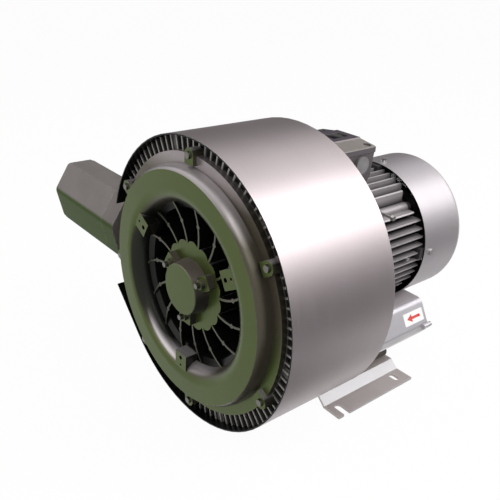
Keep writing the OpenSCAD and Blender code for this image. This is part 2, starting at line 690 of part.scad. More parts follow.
module end_shield() {
    y0 = frame_end_y + eps;
    color([0.46, 0.45, 0.47]) difference() {
        union() {
            revolve([[bearing_bore_r + 2, y0 + shield_t + 4], [bearing_od_r + 8, y0 + shield_t + 4],
                [bearing_od_r + 14, y0 + shield_t], [motor_flange_r - 3, y0 + shield_t],
                [motor_flange_r - 3, y0], [frame_r - fit, y0], [frame_r - fit, y0 - 5],
                [bearing_od_r + 8, y0 - 5], [bearing_od_r + 8, rear_bearing_y - 3],
                [bearing_od_r + fit, rear_bearing_y - 3],
                [bearing_od_r + fit, rear_bearing_y + bearing_w + 2],
                [bearing_bore_r + 2, rear_bearing_y + bearing_w + 2]]);
            for (a = motor_bolt_angles) rod(bolt_pitch_r, a, 7, y0, y0 + shield_t);
            for (a = [0, 90, 180, 270]) along_shaft(y0, cowl_lug_y + 8) rotate(a)
                polygon(box_points(80, cowl_r - cowl_t - seat, -8, 8));
        }
        for (a = motor_bolt_angles) rod(bolt_pitch_r, a, 3.2, y0 - 1, y0 + shield_t + 1);
        for (a = [0, 90, 180, 270]) translate([0, cowl_lug_y, shaft_h]) rotate([0, 90 - a, 0])
            translate([0, 0, cowl_r - 18]) cylinder(h = 30, r = 2.5);
    }
}
module preload_spring() {
    y0 = rear_bearing_y + bearing_w;
    color("silver") tube(bearing_od_r - 1, bearing_od_r - 5, y0 + 0.2, y0 + 1.8, 64);
}
module cooling_fan() {
    hub_out = 24;
    disc_r = cowl_r - 28;
    color([0.12, 0.12, 0.13]) {
        tube(hub_out, fan_bore_r, fan_y, fan_y + fan_len);
        tube(disc_r, hub_out - 1, fan_y, fan_y + 2.5);
        for (i = [0:6]) along_shaft(fan_y, fan_y + fan_len - 3) rotate(i * 360 / 7)
            polygon(box_points(hub_out - 1, cowl_r - 12, -1.3, 1.3));
    }
}
module fan_clip() color("gray")
    tube(fan_bore_r + 4, fan_bore_r, fan_y + fan_len + eps, fan_y + fan_len + 1.6, 64);
module fan_cowl() {
    bend = 14;
    in_r = cowl_r - cowl_t;
    color([0.76, 0.76, 0.77]) difference() {
        union() {
            revolve(concat(
                [[in_r, cowl_y], [cowl_r, cowl_y]],
                arc([cowl_r - bend, cowl_end_y - bend], bend, 0, 90, 8),
                [[cowl_r - bend - 2, cowl_end_y], [cowl_r - bend - 2, cowl_end_y - cowl_t]],
                arc([cowl_r - bend, cowl_end_y - bend], bend - cowl_t, 90, 0, 8)
            ));
            along_shaft(cowl_end_y - cowl_t, cowl_end_y) difference() {
                circle(cowl_r - bend - 1, $fn = 128);
                for (r = [22:10:cowl_r - bend - 20]) difference() {
                    circle(r + 6, $fn = 96);
                    circle(r, $fn = 96);
                    for (a = [0:45:359]) rotate(a) translate([0, -2.5]) square([120, 5]);
                }
            }
        }
        for (a = [0, 90, 180, 270]) translate([0, cowl_lug_y, shaft_h]) rotate([0, 90 - a, 0])
            translate([0, 0, cowl_r - 10]) cylinder(h = 20, r = 2.9);
    }
}
module cowl_screws() {
    color("silver") for (a = [0, 90, 180, 270]) translate([0, cowl_lug_y, shaft_h]) rotate([0, 90 - a, 0]) {
        translate([0, 0, cowl_r]) cylinder(h = 3, r = 5);
        translate([0, 0, cowl_r - 14]) cylinder(h = 14, r = 2.5 - fit);
    }
}

// Terminal box
lid_lift = 14;
lid_z = box_top - lid_lift;
gasket_t = 1;
box_wall = 4;
plug_y = box_y1 - 27;
plug_z = lid_z - 15;
lid_screw_inset = 9;
lid_screw_places = [for (sx = [-1, 1], y = [box_y0 + lid_screw_inset, box_y1 - lid_screw_inset])
    [sx * (box_w / 2 - lid_screw_inset), y]];
module terminal_box() {
    w = box_w / 2 - 1;
    z1 = lid_z - gasket_t;
    color([0.48, 0.46, 0.49]) difference() {
        union() {
            along_shaft(box_y0 + 1, box_y1 - 1)
                polygon(mirrored([[w - 8, box_floor], [w - 3, box_floor + 12], [w, z1]]));
            for (s = [-1, 1]) translate([s * (w - 3), plug_y, shaft_h + plug_z]) rotate([0, 90, 0])
                cylinder(h = 9, r = 14, center = true);
        }
        difference() {
            translate([-w + box_wall + 4, box_y0 + 1 + box_wall, shaft_h + box_floor + box_wall])
                cube([2 * (w - box_wall - 4), box_len - 2 - 2 * box_wall, 100]);
            for (p = lid_screw_places) translate([p.x, p.y, shaft_h + box_floor]) cylinder(h = 100, r = 7);
        }
        translate([-30, box_y0 + 28, shaft_h + box_floor - 1]) cube([60, box_len - 56, box_wall + 2]);
        for (s = [-1, 1]) translate([s * w, plug_y, shaft_h + plug_z]) rotate([0, 90, 0])
            cylinder(h = 40, r = 10, center = true);
        for (p = lid_screw_places) translate([p.x, p.y, shaft_h + z1 - 14]) cylinder(h = 20, r = 2);
    }
}
module box_gasket() {
    w = box_w / 2 - 1;
    color([0.1, 0.1, 0.1]) translate([0, 0, shaft_h + lid_z - gasket_t + eps])
    linear_extrude(gasket_t - 2 * eps) difference() {
        polygon(box_points(-w, w, box_y0 + 1, box_y1 - 1));
        difference() {
            polygon(box_points(-w + 8, w - 8, box_y0 + 5, box_y1 - 5));
            for (p = lid_screw_places) translate(p) circle(6);
        }
        for (p = lid_screw_places) translate(p) circle(2.6);
    }
}
plateau_w = 45;
module terminal_lid() {
    w = box_w / 2;
    color([0.46, 0.43, 0.48]) difference() {
        along_shaft(box_y0, box_y1) polygon(mirrored([[w, lid_z], [w, box_top - 6.5],
            [w - 1.5, box_top - 5.5], [plateau_w / 2 + 1, box_top - 1.5], [plateau_w / 2, box_top]]));
        translate([-w + 8, box_y0 + 5, shaft_h + lid_z - 1]) cube([2 * w - 16, box_len - 10, 4]);
        translate([-10, box_y1 - 42, shaft_h + box_top - 5]) cube([21, 31, 6]);
        for (p = lid_screw_places) {
            translate([p.x, p.y, shaft_h + lid_z - 1]) cylinder(h = 20, r = 2.6);
            translate([p.x, p.y, shaft_h + lid_z + 5]) cylinder(h = 20, r = 5.5);
        }
    }
}
module lid_screws() {
    color("silver") for (p = lid_screw_places) translate([p.x, p.y, shaft_h + lid_z]) {
        translate([0, 0, -12]) cylinder(h = 17.5, r = 2 - fit);
        translate([0, 0, 5]) cylinder(h = 3, r = 4.5);
    }
}
module terminal_block() {
    z = shaft_h + box_floor + box_wall;
    color([0.25, 0.2, 0.15]) {
        translate([-33, box_y0 + 30, z]) cube([66, box_len - 60, 12]);
        for (x = [-20, 0, 20], y = [box_y0 + 40, box_y1 - 40])
            translate([x, y, z + 12]) cylinder(h = 12, r = 2.5);
    }
}
module entry_plugs() {
    w = box_w / 2 - 1;
    color([0.2, 0.2, 0.22]) for (s = [-1, 1])
    translate([s * (w + 1.5), plug_y, shaft_h + plug_z]) rotate([0, s * 90, 0]) {
        cylinder(h = 3, r = 12.5);
        translate([0, 0, -8]) cylinder(h = 8.5, r = 10 - fit);
    }
}

// Silencers: a prism with a lining round a perforated tube, an adapter and an end cap
port_gasket_t = 1.5;
outlet_half = [[22.5, 49.5], [50, 6], [37, -49.5]];
outlet_corner_r = [9, 14, 9];
inlet_half = [[23.5, 29.5], [44, -7.5], [44, -20], [38, -28]];
inlet_corner_r = [14, 7.5, 7.5, 7.5];
function section(half) = let (m = len(half)) concat(
    [for (i = [m - 1:-1:0]) [half[i].x, half[i].y]], [for (p = half) [-p.x, p.y]]);
function section_radii(radii, t) = let (inner = [for (r = radii) r - min(t, 5)])
    concat([for (i = [len(inner) - 1:-1:0]) inner[i]], inner);
function outlet_out(t = 0) = rounded(inset(section(outlet_half), t), section_radii(outlet_corner_r, t));
function inlet_out(t = 0) = rounded(inset(section(inlet_half), t), section_radii(inlet_corner_r, t));
outlet_adapter_x = outlet_face_x - port_gasket_t;
outlet_body_x = outlet_adapter_x - 57.5;
outlet_cap_x = outlet_body_x - outlet_len;
inlet_adapter_y = inlet_face_y + port_gasket_t;
inlet_body_y = inlet_adapter_y + 22;
inlet_cap_y = inlet_body_y + inlet_len;
module outlet_at(x0, x1) along_x(x0, x1) translate([outlet_y, outlet_z]) children();
module inlet_at(y0, y1) along_shaft(y0, y1) translate([inlet_x, inlet_z]) children();
tube_r = port_r - 2.4;
module outlet_gasket() {
    color([0.2, 0.2, 0.2]) outlet_at(outlet_adapter_x + eps, outlet_face_x - eps) difference() {
        outlet_pad();
        circle(port_r);
        for (s = outlet_bolt_places) translate(s) circle(3.4);
    }
}
module outlet_adapter() {
    flange = 12;
    neck = 22;
    color([0.50, 0.48, 0.47]) difference() {
        union() {
            outlet_at(outlet_adapter_x - flange, outlet_adapter_x) outlet_pad();
            outlet_at(outlet_adapter_x - neck, outlet_adapter_x) circle(port_r + 5.5);
            outlet_at(outlet_body_x + eps, outlet_adapter_x - neck + 1) polygon(outlet_out());
        }
        outlet_at(outlet_body_x - 1, outlet_adapter_x + 1) circle(port_r);
        for (s = outlet_bolt_places) {
            outlet_at(outlet_body_x - 1, outlet_adapter_x + 1) translate(s) circle(3.4);
            outlet_at(outlet_body_x - 1, outlet_adapter_x - flange) translate(s) circle(6);
        }
    }
}
module outlet_silencer() {
    color([0.52, 0.50, 0.48]) outlet_at(outlet_cap_x, outlet_body_x) difference() {
        polygon(outlet_out());
        polygon(outlet_out(silencer_wall));
    }
}
module outlet_cap() {
    lip = 5;
    color([0.48, 0.48, 0.46]) difference() {
        union() {
            outlet_at(outlet_cap_x - cap_t, outlet_cap_x - eps) polygon(outlet_out(1));
            outlet_at(outlet_cap_x - 1, outlet_cap_x + lip) polygon(outlet_out(silencer_wall + fit));
            outlet_at(outlet_cap_x, outlet_cap_x + 15) circle(port_r + 5);
        }
        outlet_at(outlet_cap_x - cap_t - 1, outlet_cap_x + 16) circle(port_r);
    }
}
module perforated(r, length, rows) {
    difference() {
        cylinder(h = length, r = r);
        translate([0, 0, -1]) cylinder(h = length + 2, r = r - 2);
        for (k = [1:rows], a = [0:90:179])
            translate([0, 0, length * k / (rows + 1)]) rotate([0, 90, a + 45 * (k % 2)])
                cylinder(h = 3 * r, r = 4, center = true, $fn = 24);
    }
}
module outlet_tube() {
    length = outlet_len - 15 - 2 * seat;
    color("silver") translate([outlet_cap_x + 15 + seat, outlet_y, shaft_h + outlet_z]) rotate([0, 90, 0])
        perforated(tube_r, length, 6);
}
module outlet_lining() {
    color([0.3, 0.3, 0.3]) outlet_at(outlet_cap_x + 15 + seat, outlet_body_x - seat) difference() {
        polygon(outlet_out(silencer_wall + seat));
        circle(tube_r + seat);
    }
}
module inlet_gasket() {
    color([0.2, 0.2, 0.2]) inlet_at(inlet_face_y + eps, inlet_adapter_y - eps) difference() {
        inlet_pad();
        circle(port_r);
        for (s = inlet_bolt_places) translate(s) circle(2.9);
    }
}
module inlet_adapter() {
    color([0.62, 0.62, 0.63]) difference() {
        union() {
            inlet_at(inlet_adapter_y, inlet_adapter_y + 12) inlet_pad();
            inlet_at(inlet_adapter_y + 11, inlet_body_y - eps) polygon(inlet_out());
        }
        inlet_at(inlet_adapter_y - 1, inlet_body_y + 1) circle(port_r);
        for (s = inlet_bolt_places) {
            inlet_at(inlet_adapter_y - 1, inlet_body_y + 1) translate(s) circle(2.9);
            inlet_at(inlet_adapter_y + 12, inlet_body_y + 1) translate(s) circle(5);
        }
    }
}
cap_lug = [48, -8];
cap_lug_r = 4.5;
cap_lug_len = 8;
module inlet_silencer() {
    color([0.70, 0.70, 0.71]) difference() {
        union() {
            inlet_at(inlet_body_y, inlet_cap_y) polygon(inlet_out());
            for (s = [-1, 1]) inlet_at(inlet_cap_y - cap_lug_len, inlet_cap_y)
                translate([s * cap_lug.x, cap_lug.y]) circle(cap_lug_r);
        }
        inlet_at(inlet_body_y - 1, inlet_cap_y + 1) polygon(inlet_out(silencer_wall));
        for (s = [-1, 1]) inlet_at(inlet_cap_y - cap_lug_len - 1, inlet_cap_y + 1)
            translate([s * cap_lug.x, cap_lug.y]) circle(2);
    }
}
module inlet_cap() {
    color([0.66, 0.66, 0.67]) difference() {
        union() {
            inlet_at(inlet_cap_y + eps, inlet_cap_y + cap_t) polygon(inlet_out(0.5));
            inlet_at(inlet_cap_y - 5, inlet_cap_y + 1) polygon(inlet_out(silencer_wall + fit));
            inlet_at(inlet_cap_y - 15, inlet_cap_y) intersection() {
                circle(port_r + 4);
                polygon(inlet_out(silencer_wall + fit));
            }
            for (s = [-1, 1]) inlet_at(inlet_cap_y + eps, inlet_cap_y + 7)
                translate([s * cap_lug.x, cap_lug.y]) circle(cap_lug_r);
        }
        inlet_at(inlet_cap_y - 16, inlet_cap_y + cap_t + 1) circle(port_r);
        for (s = [-1, 1]) inlet_at(inlet_cap_y - 1, inlet_cap_y + 8)
            translate([s * cap_lug.x, cap_lug.y]) circle(2.4);
    }
}
module inlet_tube() {
    length = inlet_len - 15 - 2 * seat;
    color("silver") translate([inlet_x, inlet_body_y + seat, shaft_h + inlet_z]) rotate([-90, 0, 0])
        perforated(tube_r, length, 6);
}
module inlet_lining() {
    color([0.3, 0.3, 0.3]) inlet_at(inlet_body_y + seat, inlet_cap_y - 15 - seat) difference() {
        polygon(inlet_out(silencer_wall + seat));
        circle(tube_r + seat);
    }
}
module silencer_screws() {
    color("silver") {
        for (s = outlet_bolt_places) {
            outlet_at(outlet_adapter_x - 12, outlet_face_x + 11) translate(s) circle(3 - fit);
            outlet_at(outlet_adapter_x - 18, outlet_adapter_x - 12) translate(s) circle(5);
        }
        for (s = inlet_bolt_places) {
            inlet_at(inlet_face_y - 11, inlet_adapter_y + 12) translate(s) circle(2.5 - fit);
            inlet_at(inlet_adapter_y + 12, inlet_adapter_y + 16.5) translate(s) circle(4.2);
        }
        for (s = [-1, 1]) {
            place = [s * cap_lug.x, cap_lug.y];
            inlet_at(inlet_cap_y - cap_lug_len, inlet_cap_y + 7) translate(place) circle(2 - fit);
            inlet_at(inlet_cap_y + 7, inlet_cap_y + 11) translate(place) circle(4);
        }
    }
}

// Foot plate, saddle and bolts
foot_to_rim = 341;
foot_y1 = rim_y + foot_to_rim;
foot_y0 = foot_y1 - foot_len;
flange_in_x = foot_w / 2 - 32;
rise = 16;
saddle_z = -shaft_h + rise;
web_run = 13;
module foot_plate() {
    half = [[foot_w / 2, -shaft_h], [foot_w / 2, -shaft_h + foot_t],
        [flange_in_x + 1.5, -shaft_h + foot_t], [flange_in_x - web_run + 1.5, saddle_z]];
    half_low = [[flange_in_x - web_run, saddle_z - foot_t], [flange_in_x, -shaft_h]];
    color([0.85, 0.84, 0.86]) difference() {
        along_shaft(foot_y0, foot_y1) polygon(concat(half, [for (i = [3:-1:0]) [-half[i].x, half[i].y]],
            [for (i = [1:-1:0]) [-half_low[i].x, half_low[i].y]], half_low));
        for (s = [-1, 1]) {
            translate([s * slot_gauge / 2, 0, -1]) linear_extrude(foot_t + 2) {
                for (e = [-1, 1]) translate([e * (slot_len - slot_w) / 2, 0]) circle(slot_w / 2);
                square([slot_len - slot_w, slot_w], center = true);
            }
            translate([s * slot_gauge / 2, -slot_pitch, -1]) linear_extrude(foot_t + 2) {
                circle(slot_w / 2 + 1);
                translate([s > 0 ? 0 : -40, -slot_w / 2 - 1]) square([40, slot_w + 2]);
            }
            translate([s * leg_x, leg_bolt_y, rise - foot_t - 2]) cylinder(h = foot_t + 4, r = 4.5);
            translate([s * leg_x, saddle_bolt_y, rise - foot_t - 2]) cylinder(h = foot_t + 4, r = 4.5);
        }
    }
}
saddle_y0 = foot_y0 + 58;
saddle_y1 = foot_y1 - 3;
saddle_bolt_y = saddle_y1 - 30;
saddle_h = 16;
saddle_half_w = 84;
post_x = [-46, 4];
module saddle() {
    color([0.25, 0.25, 0.26]) difference() {
        union() {
            along_shaft(saddle_y0, saddle_y1)
                polygon(rounded(box_points(-saddle_half_w, saddle_half_w,
                    saddle_z + eps, saddle_z + saddle_h), 7));
            difference() {
                along_shaft(saddle_y0 + 10, saddle_y1 - 8)
                    polygon([[post_x[0] - 12, saddle_z + 4], [post_x[1], saddle_z + 4],
                        [post_x[1], -(frame_r + 2)], [post_x[0], -(frame_r - 10)]]);
                along_shaft(saddle_y0, saddle_y1) circle(motor_fin_r + seat, $fn = 128);
            }
        }
        for (s = [-1, 1]) translate([s * leg_x, saddle_bolt_y, rise - 1]) cylinder(h = saddle_h + 4, r = 4);
    }
}
module foot_bolts() {
    color("silver") for (s = [-1, 1], y = [leg_bolt_y, saddle_bolt_y])
    translate([s * leg_x, y, rise - foot_t]) {
        translate([0, 0, -5]) cylinder(h = 5, r = 7.5, $fn = 6);
        cylinder(h = foot_t + 11, r = 4 - fit);
    }
}

front_cover();
bearing_cap();
cap_screws();
cover_screws();
middle_housing();
rear_housing();
housing_screws();
shroud();
shaft();
front_impeller();
rear_impeller();
seal_sleeve();
hub_spacer();
impeller_keys();
lock_nut();
shaft_seals();
front_bearing_outer();
front_bearing_inner();
drive_bearing_outer();
drive_bearing_inner();
rear_bearing_outer();
rear_bearing_inner();
bearing_balls();
motor_frame();
stator_core();
windings();
rotor_core();
rotor_end_rings();
end_shield();
preload_spring();
through_bolts();
cooling_fan();
fan_clip();
fan_cowl();
cowl_screws();
terminal_box();
box_gasket();
terminal_lid();
lid_screws();
terminal_block();
entry_plugs();
outlet_gasket();
outlet_adapter();
outlet_silencer();
outlet_cap();
outlet_tube();
outlet_lining();
inlet_gasket();
inlet_adapter();
inlet_silencer();
inlet_cap();
inlet_tube();
inlet_lining();
silencer_screws();
foot_plate();
saddle();
foot_bolts();
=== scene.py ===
"""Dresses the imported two-stage side-channel blower.

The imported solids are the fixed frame. Each sub-assembly below turns its solids into softened castings,
sheets and fasteners, gives them procedural finishes, and adds the small detail that the solids leave out.
Lengths are in metres, +Z up, +Y along the shaft from the front cover to the motor fan.
"""

from __future__ import annotations

import json
import logging
import math
from dataclasses import asdict, dataclass
from enum import Enum
from typing import Callable, Sequence

import bmesh
import bpy
from mathutils import Matrix, Vector

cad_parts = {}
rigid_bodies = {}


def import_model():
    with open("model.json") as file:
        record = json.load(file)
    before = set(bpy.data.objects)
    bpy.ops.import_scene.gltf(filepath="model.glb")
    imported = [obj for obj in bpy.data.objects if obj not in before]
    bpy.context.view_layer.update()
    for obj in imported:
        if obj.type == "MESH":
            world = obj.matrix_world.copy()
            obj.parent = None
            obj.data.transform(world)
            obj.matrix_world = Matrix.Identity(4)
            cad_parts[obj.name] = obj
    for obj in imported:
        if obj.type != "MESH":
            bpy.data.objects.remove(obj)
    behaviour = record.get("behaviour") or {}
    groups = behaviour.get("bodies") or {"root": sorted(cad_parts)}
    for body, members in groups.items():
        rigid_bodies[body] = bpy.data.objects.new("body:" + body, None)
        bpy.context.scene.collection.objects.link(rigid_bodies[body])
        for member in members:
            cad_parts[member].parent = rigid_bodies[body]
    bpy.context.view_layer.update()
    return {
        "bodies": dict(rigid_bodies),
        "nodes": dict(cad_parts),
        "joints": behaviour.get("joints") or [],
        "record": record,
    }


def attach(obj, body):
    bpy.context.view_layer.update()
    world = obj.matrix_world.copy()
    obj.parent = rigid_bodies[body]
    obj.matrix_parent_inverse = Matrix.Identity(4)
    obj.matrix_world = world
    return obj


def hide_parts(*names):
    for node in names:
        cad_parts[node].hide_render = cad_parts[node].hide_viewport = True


LOG = logging.getLogger("blower")

# Shared sizes, angles and counts

SHAFT_HEIGHT = 0.212
WELD_DISTANCE = 2e-6
SLIVER = 2e-5
FLAT_ANGLE = math.radians(0.6)
SHARP_ANGLE = math.radians(32.0)
SCREW_ANGLE = math.radians(35.0)
LARGE_FACE_WEIGHT = 90
CORNER_STEPS = 4
HEXAGON = 6
SHANK_SIDES = 16
WASHER_SIDES = 32
PLACE_DIGITS = 5

Pair = tuple[float, float]
Colour = tuple[float, float, float]
Point = tuple[float, float, float]
Socket = bpy.types.NodeSocket


class Axis(Enum):
    """A fixed direction, such as the way in which a fastener's head points."""

    FRONT = (0.0, -1.0, 0.0)
    REAR = (0.0, 1.0, 0.0)
    UP = (0.0, 0.0, 1.0)
    DOWN = (0.0, 0.0, -1.0)
    LEFT = (-1.0, 0.0, 0.0)
    RIGHT = (1.0, 0.0, 0.0)


# Node trees


class Nodes:
    """A node tree that is built in code."""

    def __init__(self, tree: bpy.types.NodeTree) -> None:
        """Keeps the tree that the nodes go into."""
        self.tree = tree

    def link(self, source: Socket, target: Socket) -> None:
        """Joins an output socket to an input socket."""
        self.tree.links.new(source, target)

    def feed(self, sockets: Sequence[Socket], values: Sequence[object]) -> None:
        """Gives each input socket its value.

        Args:
            sockets: Input sockets.
            values: For each of them another socket, a colour, a vector or a number.
        """
        for socket, value in zip(sockets, values):
            if isinstance(value, Socket):
                self.link(value, socket)
            elif socket.type == "RGBA":
                socket.default_value = (*value, 1.0)
            else:
                socket.default_value = value

    def feed_named(self, node: bpy.types.Node, values: dict[str, object]) -> None:
        """Feeds a node's inputs by name, with spaces written as underscores."""
        self.feed([node.inputs[key.replace("_", " ")] for key in values], list(values.values()))

    def math(self, operation: str, first: object, second: object = 0.0) -> Socket:
        """Adds a Math node.

        Args:
            operation: The node's operation.
            first: A socket or a number.
            second: A socket or a number.

        Returns:
            The node's output socket.
        """
        made = self.tree.nodes.new("ShaderNodeMath")
        made.operation = operation
        self.feed(made.inputs, (first, second))
        return made.outputs[0]

    def product(self, first: object, *others: object) -> Socket:
        """Multiplies sockets and numbers.

        Args:
            first: A socket or a number.
            *others: More sockets or numbers.

        Returns:
            The product's socket.
        """
        for other in others:
            first = self.math("MULTIPLY", first, other)
        return first


class Graph(Nodes):
    """The node tree of one material or world."""

    def __init__(self, owner: bpy.types.ID) -> None:
        """Empties the owner's node tree.

        Args:
            owner: The material or world whose nodes are replaced.
        """
        owner.use_nodes = True
        super().__init__(owner.node_tree)
        self.tree.nodes.clear()

    def node(self, kind: str, **values: object) -> bpy.types.Node:
        """Adds a node and sets its properties and inputs.

        Args:
            kind: The node's type name without the ShaderNode prefix.
            **values: Properties by name, or inputs by name with spaces written as underscores.

        Returns:
            The new node.
        """
        made = self.tree.nodes.new("ShaderNode" + kind)
        for key, value in values.items():
            if hasattr(made, key):
                setattr(made, key, value)
            else:
                made.inputs[key.replace("_", " ")].default_value = value
        return made

    def blend(self, factor: object, first: object, second: object) -> Socket:
        """Mixes two colours.

        Args:
            factor: A socket or a number from 0 to 1.
            first: A colour or a socket, shown where the factor is 0.
            second: A colour or a socket, shown where the factor is 1.

        Returns:
            The mixed colour's socket.
        """
        made = self.node("Mix", data_type="RGBA")
        # Inputs 6 and 7 and output 2 are the node's colours. They share their names with its other kinds.
        self.feed((made.inputs[0], made.inputs[6], made.inputs[7]), (factor, first, second))
        return made.outputs[2]

    def ramp(self, value: Socket, low: float, high: float) -> Socket:
        """Stretches a value so that low becomes 0 and high becomes 1, held within 0 and 1.

        Args:
            value: The value's socket.
            low: Where the result is 0.
            high: Where the result is 1.

        Returns:
            The stretched value's socket.
        """
        made = self.node("MapRange", clamp=True)
        self.feed(made.inputs[:3], (value, low, high))
        return made.outputs[0]

    def place(self) -> tuple[Socket, Socket, Socket]:
        """Reads where the surface lies.

        Returns:
            The point's x, y and height over the shaft.
        """
        split = self.node("SeparateXYZ")
        self.link(self.node("TexCoord").outputs["Object"], split.inputs[0])
        return split.outputs[0], split.outputs[1], self.math("SUBTRACT", split.outputs[2], SHAFT_HEIGHT)

    def shaft_radius(self) -> Socket:
        """Works out the point's distance from the shaft's axis.

        Returns:
            The distance's socket.
        """
        across, _, height = self.place()
        square = self.math("ADD", self.product(across, across), self.product(height, height))
        return self.math("SQRT", square)

    def round_shaft(self, turns: float, along: float) -> Socket:
        """Makes coordinates that wrap round the shaft, for grain that follows a rolled or turned surface.

        Args:
            turns: Scale round the shaft.
            along: Scale along the shaft.

        Returns:
            A vector socket.
        """
        across, station, height = self.place()
        angle = self.math("ARCTAN2", height, across)
        joined = self.node("CombineXYZ")
        self.feed(joined.inputs[:2], (self.product(angle, turns), self.product(station, along)))
        return joined.outputs[0]

    def toward_normal(self, direction: object) -> Socket:
        """Compares a direction with the surface's normal.

        Args:
            direction: A vector or its socket.

        Returns:
            Their dot product's socket.
        """
        dot = self.node("VectorMath", operation="DOT_PRODUCT")
        self.feed(dot.inputs[:2], (direction, self.node("NewGeometry").outputs["Normal"]))
        return dot.outputs["Value"]

    def facing(self, toward: Point) -> Socket:
        """How far the surface faces a fixed direction of the object, from -1 to 1."""
        return self.toward_normal(Vector(toward).normalized())

    def inward(self, lean: float = 0.11, full: float = -0.02) -> Socket:
        """Finds the faces of a shell that look toward the shaft or to the front.

        Args:
            lean: How far the outward direction leans to the rear, in metres.
            full: The comparison at which a face counts in full.

        Returns:
            A value of 1 on those faces and 0 on the others.
        """
        across, _, height = self.place()
        outward = self.node("CombineXYZ")
        self.feed(outward.inputs, (across, lean, height))
        return self.ramp(self.toward_normal(outward.outputs[0]), 0.0, full)

    def edge(self, radius: float, flat: float = 0.98, sharp: float = 0.82) -> Socket:
        """Finds edges by comparing rounded with true normals.

        Args:
            radius: Reach of the rounding.
            flat: The comparison at which a face counts as open.
            sharp: The comparison at which it counts as an edge.

        Returns:
            A value near 1 at edges and 0 on open faces.
        """
        bevel = self.node("Bevel", samples=4, Radius=radius)
        return self.ramp(self.toward_normal(bevel.outputs[0]), flat, sharp)

    def bump(self, height: Socket, distance: float, strength: float) -> Socket:
        """Turns a height into a normal.

        Args:
            height: The height's socket.
            distance: The height's size in metres.
            strength: The share of it that shows.

        Returns:
            The normal's socket.
        """
        made = self.node("Bump", Distance=distance, Strength=strength)
        self.link(height, made.inputs["Height"])
        return made.outputs["Normal"]

    def varied(self, base: float, grain: Socket, spread: float) -> Socket:
        """A roughness that wanders about its base with a grain."""
        return self.math("ADD", self.product(grain, spread), base - spread / 2)

    def surface(self, **sockets: object) -> None:
        """Adds the Principled shader and the output.

        Args:
            **sockets: Inputs by name with spaces written as underscores, as numbers, colours or sockets.
        """
        shader = self.node("BsdfPrincipled")
        self.feed_named(shader, sockets)
        self.link(shader.outputs[0], self.node("OutputMaterial").inputs[0])


# Finishes


@dataclass(frozen=True)
class Pattern:
    """A noise: its cells per metre, its octaves, and the span of its values that shows.

    A stretch along each axis gives grain that runs one way.
    """

    cells: float
    octaves: float
    span: Pair | None = None
    stretch: Point | None = None

    def value(self, graph: Graph, place: Socket | None = None) -> Socket:
        """Adds the noise to a material.

        Args:
            graph: The material's nodes.
            place: Coordinates other than the object's own.

        Returns:
            The noise's value, from 0 to 1 over its span if it has one.
        """
        source = place or graph.node("TexCoord").outputs["Object"]
        if self.stretch is not None:
            mapping = graph.node("Mapping", Scale=self.stretch)
            graph.link(source, mapping.inputs["Vector"])
            source = mapping.outputs["Vector"]
        noise = graph.node("TexNoise", Scale=self.cells, Detail=self.octaves)
        graph.link(source, noise.inputs["Vector"])
        return noise.outputs["Fac"] if self.span is None else graph.ramp(noise.outputs["Fac"], *self.span)


@dataclass(frozen=True)
class Finish:
    """A named finish. Each kind of finish says how its material is made."""

    name: str

    def make(self) -> bpy.types.Material:
        """Makes the material once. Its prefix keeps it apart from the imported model's own materials.

        Returns:
            The material.
        """
        own_name = "finish_" + self.name
        material = bpy.data.materials.get(own_name)
        if material is None:
            material = bpy.data.materials.new(own_name)
            self.fill(Graph(material))
        return material

    def fill(self, graph: Graph) -> None:
        """Fills the material's nodes. Each kind of finish overrides this."""
        raise NotImplementedError


@dataclass(frozen=True)
class Tint:
    """A tone laid on the faces that look one way, or only on those near the shaft. In this script the tints
    paint light and shade by facing.

    It sets in at start and is whole at full, on the scale of Graph.facing. The reach is measured from
    the shaft.
    """

    toward: Point
    start: float
    full: float
    colour: Colour
    reach: float | None = None
    reach_fade: float = 0.006

    def amount(self, graph: Graph) -> Socket:
        """Works out where the tone lies.

        Args:
            graph: The material's nodes.

        Returns:
            A value of 1 on the faces that take the tone and 0 on the others.
        """
        facing = graph.ramp(graph.facing(self.toward), self.start, self.full)
        if self.reach is None:
            return facing
        near = graph.ramp(graph.shaft_radius(), self.reach, self.reach - self.reach_fade)
        return graph.product(facing, near)


@dataclass(frozen=True)
class Zone:
    """A tone between two distances from the shaft and two stations along it, such as painted shade in a
    recess or a painted highlight on rib fronts.

    It may set in between two heights over the shaft.
    """

    radii: Pair
    stations: Pair
    colour: Colour
    soft: float = 0.001
    heights: Pair | None = None

    def amount(self, graph: Graph) -> Socket:
        """Works out where the tone lies.

        Args:
            graph: The material's nodes.

        Returns:
            A value of 1 inside the zone and 0 outside it.
        """
        inside: object = 1.0
        for value, (low, high) in ((graph.shaft_radius(), self.radii), (graph.place()[1], self.stations)):
            rising = graph.ramp(value, low, low + self.soft)
            falling = graph.ramp(value, high, high - self.soft)
            inside = graph.product(inside, graph.product(rising, falling))
        if self.heights is not None:
            inside = graph.product(inside, graph.ramp(graph.place()[2], *self.heights))
        return inside


